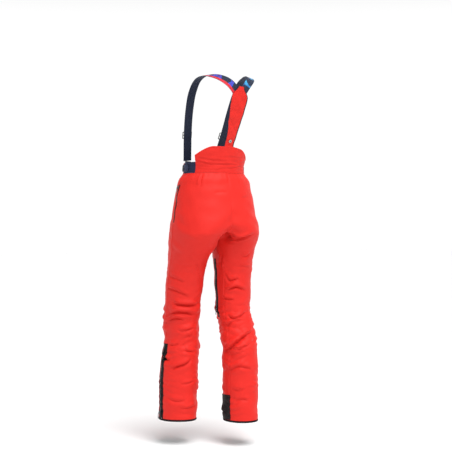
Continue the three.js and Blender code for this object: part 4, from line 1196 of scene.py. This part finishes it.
# hanger loop
yb = float(surf(1, 1.0, 70.0)[1]) - SHELL
path = catmull([(-30, yb - 2.2, 80), (-26, yb - 8, 93), (-10, yb - 12, 99), (10, yb - 12, 99), (26, yb - 8, 93), (30, yb - 2.2, 80)], 50)
T = np.gradient(path, axis=0)
T /= np.linalg.norm(T, axis=1, keepdims=True)
n0 = np.array([0, 1, 0.15])
Nn = n0 - T * (T @ n0)[:, None]
Nn /= np.linalg.norm(Nn, axis=1, keepdims=True)
W = np.cross(T, Nn)
P = path[:, None] + W[:, None] * np.linspace(2.5, -2.5, 5)[None, :, None]
o = shell("hanger_loop_tape", P, np.broadcast_to(Nn[:, None], P.shape), 1.5, ["tape"] * 3)
done(o, "pelvis", ["hanger_loop"])


# ------------------------------------------------------------------ suspenders
def ribbon(name, path, normals, width, thick, mats, cols=13, crown=0.0, wave=None, u0=0.0, side_shift=0.0, inner=1):
    path, normals = np.asarray(path, float), np.asarray(normals, float)
    T = np.gradient(path, axis=0)
    T /= np.linalg.norm(T, axis=1, keepdims=True)
    Nn = normals - T * (T * normals).sum(1, keepdims=True)
    Nn /= np.linalg.norm(Nn, axis=1, keepdims=True)
    W = np.cross(T, Nn)
    w = np.broadcast_to(np.asarray(width, float), (len(path),)) / 2
    f = np.linspace(1, -1, cols)
    P = path[:, None] + W[:, None] * (w[:, None] * f[None])[..., None] + W[:, None] * side_shift
    lift = crown * (1 - f ** 2)[None] * np.ones((len(path), 1))
    if wave is not None:
        lift = lift + wave(f[None], np.linspace(0, 1, len(path))[:, None], P)
    Ng = np.broadcast_to(Nn[:, None], P.shape)
    P = P + Ng * lift[..., None]
    d = np.concatenate([[0], np.cumsum(np.linalg.norm(np.diff(path, axis=0), axis=1))])
    U = (f[None] * w[:, None] + w[:, None]) * 0.001
    o = shell(name, P, Ng, thick, mats, U, np.broadcast_to(d[:, None] * 0.001, P.shape[:2]), rim=2, inner=inner)
    return o, P, Nn, W, d


def resample(points, n):
    c = catmull(points, 600)
    d = np.concatenate([[0], np.cumsum(np.linalg.norm(np.diff(c, axis=0), axis=1))])
    q = np.linspace(0, d[-1], n)
    return np.stack([np.interp(q, d, c[:, k]) for k in range(3)], 1)


BACK = [(-2, 123.6, 112.4), (-3, 127.5, 124), (-6, 138, 150), (-10, 154, 205), (-15, 170, 262), (-20, 181, 312), (-24, 186, 346)]
yk = lambda z: float(surf(1, 1.0, z)[1])
INSIDE = [(-1, yk(60.0) - 4.6, 58), (-1, yk(75.0) - 4.8, 75), (-1.2, yk(92.0) - 4.8, 92), (-1.6, yk(104.0) - 2.8, 104)]
main = resample(BACK, 110)
lead = resample(INSIDE + BACK[:2], 40)
lead = lead[lead[:, 2] < 111.6]
path = np.vstack([lead, main])
nn = np.gradient(path, axis=0)
nn = np.stack([0 * nn[:, 0], nn[:, 2], -nn[:, 1]], 1)
nn /= np.linalg.norm(nn, axis=1, keepdims=True)
dm = np.concatenate([np.zeros(len(lead)), np.linspace(0, 1, len(main))])
wid = 36 + 34 * smooth(dm / 0.84) - 48 * smooth((dm - 0.82) / 0.18)


def strap_wave(f, g, P):
    z = P[..., 2]
    on = smooth((z - 116) / 30)
    return on * (0.8 * np.sin(z / 17 + 1.3 * f) * np.exp(-(((z - 175) / 55) ** 2)) + 0.7 * waves(P.reshape(-1, 3), 131, 26, 60, 8, 0.8).reshape(z.shape)) + 0.5 * np.exp(-(((1 - np.abs(f)) / 0.14) ** 2)) * on - 0.5 * np.exp(-(((np.abs(f) - 0.80) / 0.045) ** 2)) * on


o, P, Nn, W, d = ribbon("back_strap_front", path, nn, wid, 1.7, ["red", "red", "red"], 27, 0.5, strap_wave)
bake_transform(o)
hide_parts("back_strap", "back_anchor_tab")
o2, P2, _, _, _ = ribbon("back_strap_lining", path - nn * 1.9, nn, wid + 5.0, 1.4, ["lining", "lining", "lining"], 21, 0.5, lambda f, g, Q: strap_wave(f * 0.96, g, Q) * 0.9, side_shift=3.2)
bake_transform(o2)
# thread along both edges: bold dark dashes down the left edge
b = Bits()
on = path[:, 2] > 118
b.stitches(P[on, 0] + W[on] * 2.6 - Nn[on] * 1.5, Nn[on], 8.6, 5.2, 1.5, 1.0, 1, 0.1)
b.stitches(P[on, 3], Nn[on], 3.4, 2.4, 0.36, 0.34, 0)
b.stitches(P[on, 23], Nn[on], 3.4, 2.4, 0.36, 0.34, 0)
o = b.object("back_strap_stitching", ["thread", "thread_dark"])
done(o, "suspenders", ())
k = int(np.argmax(main[:, 2] > 128.5)) + len(lead)
dirn, tt = Nn[k], path[k + 1] - path[k - 1]
b = Bits()
press_stud(b, basis(path[k] + dirn * 1.2, dirn, tt), 7.0, 0.5)
o = b.object("back_strap_snap", ["metal", "darkmetal"])
done(o, "suspenders", ["back_snap_cap"])

WEBS = {
    1: [(-12, 176.0, 316), (4, 179, 337), (24, 172, 360), (48, 151, 380), (70, 116, 393), (84, 74, 396), (92, 30, 380), (95, -8, 334), (93, -36, 268), (88, -58, 190), (78, -80, 112), (71, -93.2, 58)],
    -1: [(-33, 173.0, 316), (-46, 175.0, 337), (-64, 170, 360), (-88, 152, 382), (-106, 116, 395), (-116, 74, 398), (-118, 30, 384), (-115, -8, 338), (-107, -36, 270), (-95, -58, 190), (-81, -80, 112), (-71, -93.2, 58)],
}
OUTS = [(0, 0.97, -0.2), (0, 1, 0.05), (0, 0.9, 0.5), (0, 0.7, 0.75), (0, 0.35, 0.95), (0, 0, 1), (0, -0.55, 0.85), (0, -0.9, 0.45), (0, -0.96, 0.28), (0, -0.95, 0.3), (0, -0.94, 0.33), (0, -0.94, 0.33)]


def centripetal(points, n):
    """Points along a centripetal Catmull-Rom curve, evenly spaced by length."""
    p = [np.array(q, float) for q in points]
    p = [2 * p[0] - p[1]] + p + [2 * p[-1] - p[-2]]
    out = []
    for i in range(1, len(p) - 2):
        a, b_, c, d_ = p[i - 1], p[i], p[i + 1], p[i + 2]
        t0, t1, t2 = (max(1e-4, np.linalg.norm(v) ** 0.5) for v in (b_ - a, c - b_, d_ - c))
        m1 = (b_ - a) / t0 - (c - a) / (t0 + t1) + (c - b_) / t1
        m2 = (c - b_) / t1 - (d_ - b_) / (t1 + t2) + (d_ - c) / t2
        m1, m2 = m1 * t1, m2 * t1
        for t in np.linspace(0, 1, 60, endpoint=False):
            out.append((2 * b_ - 2 * c + m1 + m2) * t ** 3 + (-3 * b_ + 3 * c - 2 * m1 - m2) * t * t + m1 * t + b_)
    out.append(p[-2])
    out = np.array(out)
    d = np.concatenate([[0], np.cumsum(np.linalg.norm(np.diff(out, axis=0), axis=1))])
    q = np.linspace(0, d[-1], n)
    return np.stack([np.interp(q, d, out[:, k]) for k in range(3)], 1)


for side in (1, -1):
    L = "left" if side > 0 else "right"
    pts = centripetal(WEBS[side], 240)
    oc = catmull(OUTS, 240)
    oc /= np.linalg.norm(oc, axis=1, keepdims=True)
    o, P, Nn, W, d = ribbon("shoulder_webbing_" + L, pts, oc, 36.0, 2.0, ["webL" if side > 0 else "webR", "webback", "webback"], 15, 0.35,
                            lambda f, g, Q: 0.35 * np.sin(g * 46 + f * 1.1) * np.exp(-(((g - 0.86) / 0.12) ** 2)))
    done(o, "suspenders", ["shoulder_strap_" + L])
    # three-bar slider
    a, b_, m_ = np.array(WEBS[side][8], float), np.array(WEBS[side][10], float), np.array(WEBS[side][9], float)
    dd = (a - b_) / np.linalg.norm(a - b_)
    n0 = np.array([0, -dd[2], dd[1]])
    M = basis(m_ + (b_ - m_) * 0.35, n0, dd)
    b = Bits()
    for z in (13, 0, -13):
        b.box((43.6, 2.3, 3.4), (0, 4.6, z), 0.9, 0, M)
    for s in (-1, 1):
        b.box((3.4, 2.6, 29.4), (s * 20.3, 4.6, 0), 1.0, 0, M)
    o = b.object("three_bar_slider_" + L, ["plastic"])
    done(o, "strap_slider_" + L, ["strap_slider_" + L])
    # end tab: a stitched patch with rounded lower corners, and its snap
    X0 = 68.0
    y0 = float(F["CY0"](22.0) - F["BF"](22.0) * math.sqrt(1 - (X0 / F["OUT"](22.0)) ** 2))
    nb = np.array([side * X0 / F["OUT"](22.0) ** 2, (y0 - F["CY0"](22.0)) / F["BF"](22.0) ** 2, 0], float)
    nb /= np.linalg.norm(nb)
    foot = np.array([side * X0, y0, 0.0])
    M = basis(foot + nb * 5.2 + np.array([0, 0, 34.0]), nb, (0, 0, 1))
    rw, rh, rad = 19.8, 21.8, 9.0
    f, g = np.linspace(-1, 1, 33), np.linspace(1, -1, 37)
    A, B = np.meshgrid(f, g)
    zz = B * rh
    low = np.clip(-(zz + rh - rad), 0, rad)
    half = np.where(low > 0, rw - rad + np.sqrt(np.maximum(0, rad ** 2 - low ** 2)), rw)
    xx = A * half
    rim_d = np.minimum(half - np.abs(xx), np.minimum(rh - zz, zz + rh))
    yy = 0.6 + 0.85 * smooth(rim_d / 2.5) - 0.4 * np.exp(-(((rim_d - 3.6) / 0.9) ** 2))
    P = place(np.stack([xx, yy, zz], -1).reshape(-1, 3), M).reshape(37, 33, 3)
    o = shell("strap_end_patch_" + L, P, np.broadcast_to(M[1], P.shape), np.clip(yy + 1.45, 0.5, 3), ["black", "black", "black"], xx * 0.001, zz * 0.001, rim=2)
    done(o, "strap_end_" + L, ["strap_end_" + L])
    b = Bits()
    for poly in ([(-15.5, 18), (15.5, 18), (15.5, -2), (-15.5, -2), (-15.5, 18)], [(-15.5, 18), (15.5, -2)], [(15.5, 18), (-15.5, -2)]):
        for (x0, z0), (x1, z1) in zip(poly, poly[1:]):
            nseg = 12
            ln = np.array([[x0 + (x1 - x0) * t, 1.42, z0 + (z1 - z0) * t] for t in np.linspace(0, 1, nseg)])
            Wd = place(ln, M)
            b.stitches(Wd, np.broadcast_to(M[1], Wd.shape), 3.2, 2.2, 0.34, 0.32, 0)
    o = b.object("strap_end_stitching_" + L, ["thread_grey"])
    done(o, "strap_end_" + L, ())
    b = Bits()
    press_stud(b, basis(foot + nb * 8.2 + np.array([0, 0, 22.0]), nb, (0, 0, 1)))
    o = b.object("strap_end_snap_" + L, ["metal", "darkmetal"])
    done(o, "strap_end_" + L, ["snap_cap_" + L])
    b = Bits()
    b.lathe([(0, -0.9), (5.6, -0.9), (6.0, -0.3), (5.4, 0.4), (2.8, 0.6), (2.4, 0.9), (0, 0.9)], 32, 0, basis(foot + nb * 2.4 + np.array([0, 0, 22.0]), nb, (0, 0, 1)))
    o = b.object("front_stud_" + L, ["metal"])
    done(o, "pelvis", ["front_anchor_" + L])

# ------------------------------------------------------------------ lower legs
for side in (1, -1):
    L = "left" if side > 0 else "right"
    # scuff guard, its upper edge cut on a slant
    s = np.linspace(-0.05, 0.17, 70)
    zt = -912.5 - 7.0 * np.linspace(0, 1, 70)
    fr = np.linspace(0, 1, 54)[:, None]
    Z = zt[None] + (HEM_Z + 1.4 - zt[None]) * fr
    S = np.broadcast_to(s, Z.shape)
    P = surf(side, S, Z)
    N = normal(side, S, Z)
    N[..., 2] *= 0.6
    N /= np.linalg.norm(N, axis=-1, keepdims=True)
    D = relief(side, S, Z, P)
    ed = np.minimum.reduce([np.broadcast_to(fr * 104, Z.shape), np.broadcast_to((s - s[0]) * 500, Z.shape), np.broadcast_to((s[-1] - s) * 500, Z.shape)])
    D = D + 2.1 - 0.7 * np.exp(-((ed / 1.8) ** 2)) + 0.25 * np.exp(-(((ed - 3) / 2) ** 2)) - 0.35 * np.exp(-(((ed - 6.0) / 0.9) ** 2)) - 0.6 * smooth((Z + 1000) / -14)
    P = P + N * D[..., None]
    o = shell(L + "_scuff_guard_patch", P, N, 1.6, ["guard", "guard", "guard"], S * 0.5, Z * 0.001, rim=2)
    done(o, L + "_shank", [L + "_scuff_guard"])
    b = Bits()
    b.stitches(P[3], N[3], 3.6, 2.5, 0.4, 0.36, 0)
    b.stitches(P[3:-2, 3], N[3:-2, 3], 3.6, 2.5, 0.4, 0.36, 0)
    b.stitches(P[3:-2, -4], N[3:-2, -4], 3.6, 2.5, 0.4, 0.36, 0)
    o = b.object(L + "_scuff_guard_stitching", ["thread_grey"])
    done(o, L + "_shank", ())
    # hem binding: a folded tape round the edge
    n = 260
    s = np.linspace(0, 1, n + 1)
    z = np.full(n + 1, HEM_Z)
    P0, N0 = surf(side, s, z), normal(side, s, z)
    N0[..., 2] = 0
    N0 /= np.linalg.norm(N0, axis=-1, keepdims=True)
    Dh = relief(side, s, z, P0)
    prof = [(1.2, 6.5), (1.55, 3.5), (1.5, 0.0), (1.35, -4.0), (0.9, -6.8), (-0.4, -7.9), (-2.2, -7.9), (-3.6, -7.2), (-4.2, -4.5), (-4.3, 0.0), (-4.2, 5.5)]
    prof_in = [(0.2, 6.5), (0.25, 3.5), (0.1, 0.0), (0.0, -3.5), (-0.5, -5.5), (-1.2, -6.3), (-1.6, -6.3), (-2.4, -5.8), (-2.9, -3.8), (-3.1, 0.0), (-3.1, 5.5)]
    # kept clear of the cloth: it starts just below the cut edge
    prof = [(0.55, -0.3), (0.95, -1.4), (1.05, -3.4), (0.9, -5.6), (0.3, -7.2), (-0.9, -7.8), (-2.4, -7.6), (-3.6, -6.6), (-4.2, -4.6), (-4.3, -2.4), (-3.8, -0.6), (-2.6, -0.25), (-1.0, -0.25)]
    a = np.array(prof)
    rip = 0.25 * np.sin(s * 2 * np.pi * 46) + 0.15 * np.sin(s * 2 * np.pi * 19 + 1)
    G = P0[:, None] + N0[:, None] * ((Dh * 1.0)[:, None] + a[None, :, 0] + rip[:, None] * (a[None, :, 1] < -1))[..., None]
    G[..., 2] = HEM_Z + a[None, :, 1] * (8.0 / 8.0)
    V = G[:-1].reshape(-1, 3)
    Cn = len(prof)
    faces = []
    for i in range(n):
        for j in range(Cn):
            k = (i + 1) % n
            q = [i * Cn + j, i * Cn + (j + 1) % Cn, k * Cn + (j + 1) % Cn, k * Cn + j]
            faces.append(q if side > 0 else q[::-1])
    c0 = V[:Cn].mean(0)
    q = faces[0]
    if np.cross(V[q[1]] - V[q[0]], V[q[3]] - V[q[0]]) @ (V[q[0]] - c0) < 0:
        faces = [w[::-1] for w in faces]
    uvs = []
    for i in range(n):
        for j in range(Cn):
            w = [(i / n * 0.49, j * 0.0016), (i / n * 0.49, (j + 1) * 0.0016), ((i + 1) / n * 0.49, (j + 1) * 0.0016), ((i + 1) / n * 0.49, j * 0.0016)]
            uvs += w
    o = build(L + "_hem_binding", V, faces, ["tape"], uv=np.array(uvs))
    done(o, L + "_shank", [L + "_hem_band"])
    # snow gaiter: light cloth gathered onto an elastic at its lower edge
    zs = np.linspace(-862, HEM_END + 2.2, 60)
    s = np.linspace(0, 1, 221)
    S, Z = np.broadcast_to(s, (60, 221)), np.broadcast_to(zs[:, None], (60, 221))
    P, N = surf(side, S, Z), normal(side, S, Z)
    N[..., 2] = 0
    N /= np.linalg.norm(N, axis=-1, keepdims=True)
    Dd = relief(side, S, Z, P)
    k = smooth((-866 - Z) / 34)
    g = smooth((-905 - Z) / 70)
    off = (Dd - 4.3) * (1 - k) + (-12.2) * k
    off = off + g * (1.1 * np.sin(S * 2 * np.pi * 44 + 1.4 * np.sin(S * 2 * np.pi * 7)) + 0.5 * np.sin(S * 2 * np.pi * 23 + Z / 9))
    el = smooth((-1003 - Z) / 4)
    off = off - el * 0.8 + 0.35 * el * np.cos(Z * 2 * np.pi / 4.4)
    P = P + N * off[..., None]
    o = shell(L + "_snow_gaiter", P, N, 0.9, ["gaiter", "gaiter", "gaiter"], S * 0.5, Z * 0.001, wrap=True, rim=2)
    done(o, L + "_shank", [L + "_gaiter"])

# topstitching beside the outseam, and beside the inseam of each leg
for side in (1, -1):
    L = "left" if side > 0 else "right"
    for name, z0, z1, at in (("_outseam_stitching", -208.0, -466.0, lambda z: 0.5 + 0 * z), ("_inseam_stitching", CROTCH - 60, -466.0, lambda z: inseam(z)),
                             ("_lower_outseam_stitching", -474.0, -700.0, lambda z: 0.5 + 0 * z), ("_lower_inseam_stitching", -474.0, HEM_Z + 4, lambda z: inseam(z))):
        b = Bits()
        z = np.linspace(z0, z1, int((z0 - z1) / 1.6))
        for off in (3.4,):
            s = at(z) + off / metric(side, at(z), z)
            P = surf(side, s, z)
            N = normal(side, s, z)
            N[..., 2] *= 0.6
            N /= np.linalg.norm(N, axis=-1, keepdims=True)
            D = relief(side, s, z, P) + lines(side, s, z, P)
            b.stitches(P + N * D[..., None], N, 3.4, 2.4, 0.34, 0.32, 0)
        o = b.object(L + name, ["thread"])
        if "lower" in name:
            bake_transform(o)
        else:
            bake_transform(o)

# ------------------------------------------------------------------ studio
floor_m = plain("studio_floor", (0.94, 0.94, 0.94), 0.85, 0.0, 0.2, 0.0, 3, 0.02)
me = bpy.data.meshes.new("studio_floor")
q = 30.0
zf = -1.127
me.from_pydata([(-q, -q, zf), (q, -q, zf), (q, q, zf), (-q, q, zf)], [], [(0, 1, 2, 3)])
me.materials.append(floor_m)
floor = bpy.data.objects.new("studio_floor", me)
bpy.context.scene.collection.objects.link(floor)

w = bpy.data.worlds.new("studio")
w.use_nodes = True
wt = w.node_tree
bg = wt.nodes["Background"]
bg.inputs["Color"].default_value = (1, 1, 1, 1)
# a bright band all round at the height of the horizon, as from white studio walls, and a dimmer ceiling
tc = wt.nodes.new("ShaderNodeTexCoord")
sx = wt.nodes.new("ShaderNodeSeparateXYZ")
wt.links.new(tc.outputs["Generated"], sx.inputs[0])
ab = wt.nodes.new("ShaderNodeMath")
ab.operation = "ABSOLUTE"
wt.links.new(sx.outputs[2], ab.inputs[0])
mr = wt.nodes.new("ShaderNodeMapRange")
mr.interpolation_type = "SMOOTHSTEP"
for key, value in (("From Min", 0.17), ("From Max", 0.32), ("To Min", 1.03), ("To Max", 0.33)):
    mr.inputs[key].default_value = value
wt.links.new(ab.outputs[0], mr.inputs["Value"])
wt.links.new(mr.outputs[0], bg.inputs["Strength"])
bpy.context.scene.world = w


def area(name, loc, aim, size, power):
    l = bpy.data.lights.new(name, "AREA")
    l.shape = "RECTANGLE"
    l.size, l.size_y = size
    l.energy = power
    o = bpy.data.objects.new(name, l)
    o.location = loc
    o.rotation_euler = (Vector(aim) - Vector(loc)).to_track_quat("-Z", "Y").to_euler()
    bpy.context.scene.collection.objects.link(o)
    return o


th = math.radians(31)
view_dir = Vector((math.sin(th), math.cos(th), 0))
right = Vector((-math.cos(th), math.sin(th), 0))
aim = Vector((-0.046, 0.028, -0.30))
sun = bpy.data.lights.new("overhead_softbox", "SUN")
sun.energy = 2.75
sun.angle = math.radians(38)
so = bpy.data.objects.new("overhead_softbox", sun)
so.rotation_euler = (-(view_dir * 0.55 + right * 0.25 + Vector((0, 0, 1.0)))).to_track_quat("-Z", "Y").to_euler()
bpy.context.scene.collection.objects.link(so)
area("key", aim + view_dir * 2.2 + right * 1.2 + Vector((0, 0, 2.7)), aim + Vector((0, 0, 0.15)), (1.6, 1.6), 20)
area("rim", aim - view_dir * 2.4 + right * 1.4 + Vector((0, 0, 1.8)), aim, (2.0, 2.0), 14)
area("front_fill", aim - view_dir * 2.6 - right * 1.6 + Vector((0, 0, 0.9)), aim, (2.4, 2.4), 12)

scene = bpy.context.scene
scene.view_settings.view_transform = "Standard"
cam = bpy.data.cameras.new("camera")
cam.lens, cam.sensor_width = 88, 36
co = bpy.data.objects.new("camera", cam)
target = Vector((-0.046, 0.028, -0.216))
co.location = target + view_dir * 4.6
co.rotation_euler = (target - co.location).to_track_quat("-Z", "Y").to_euler()
scene.collection.objects.link(co)
scene.camera = co
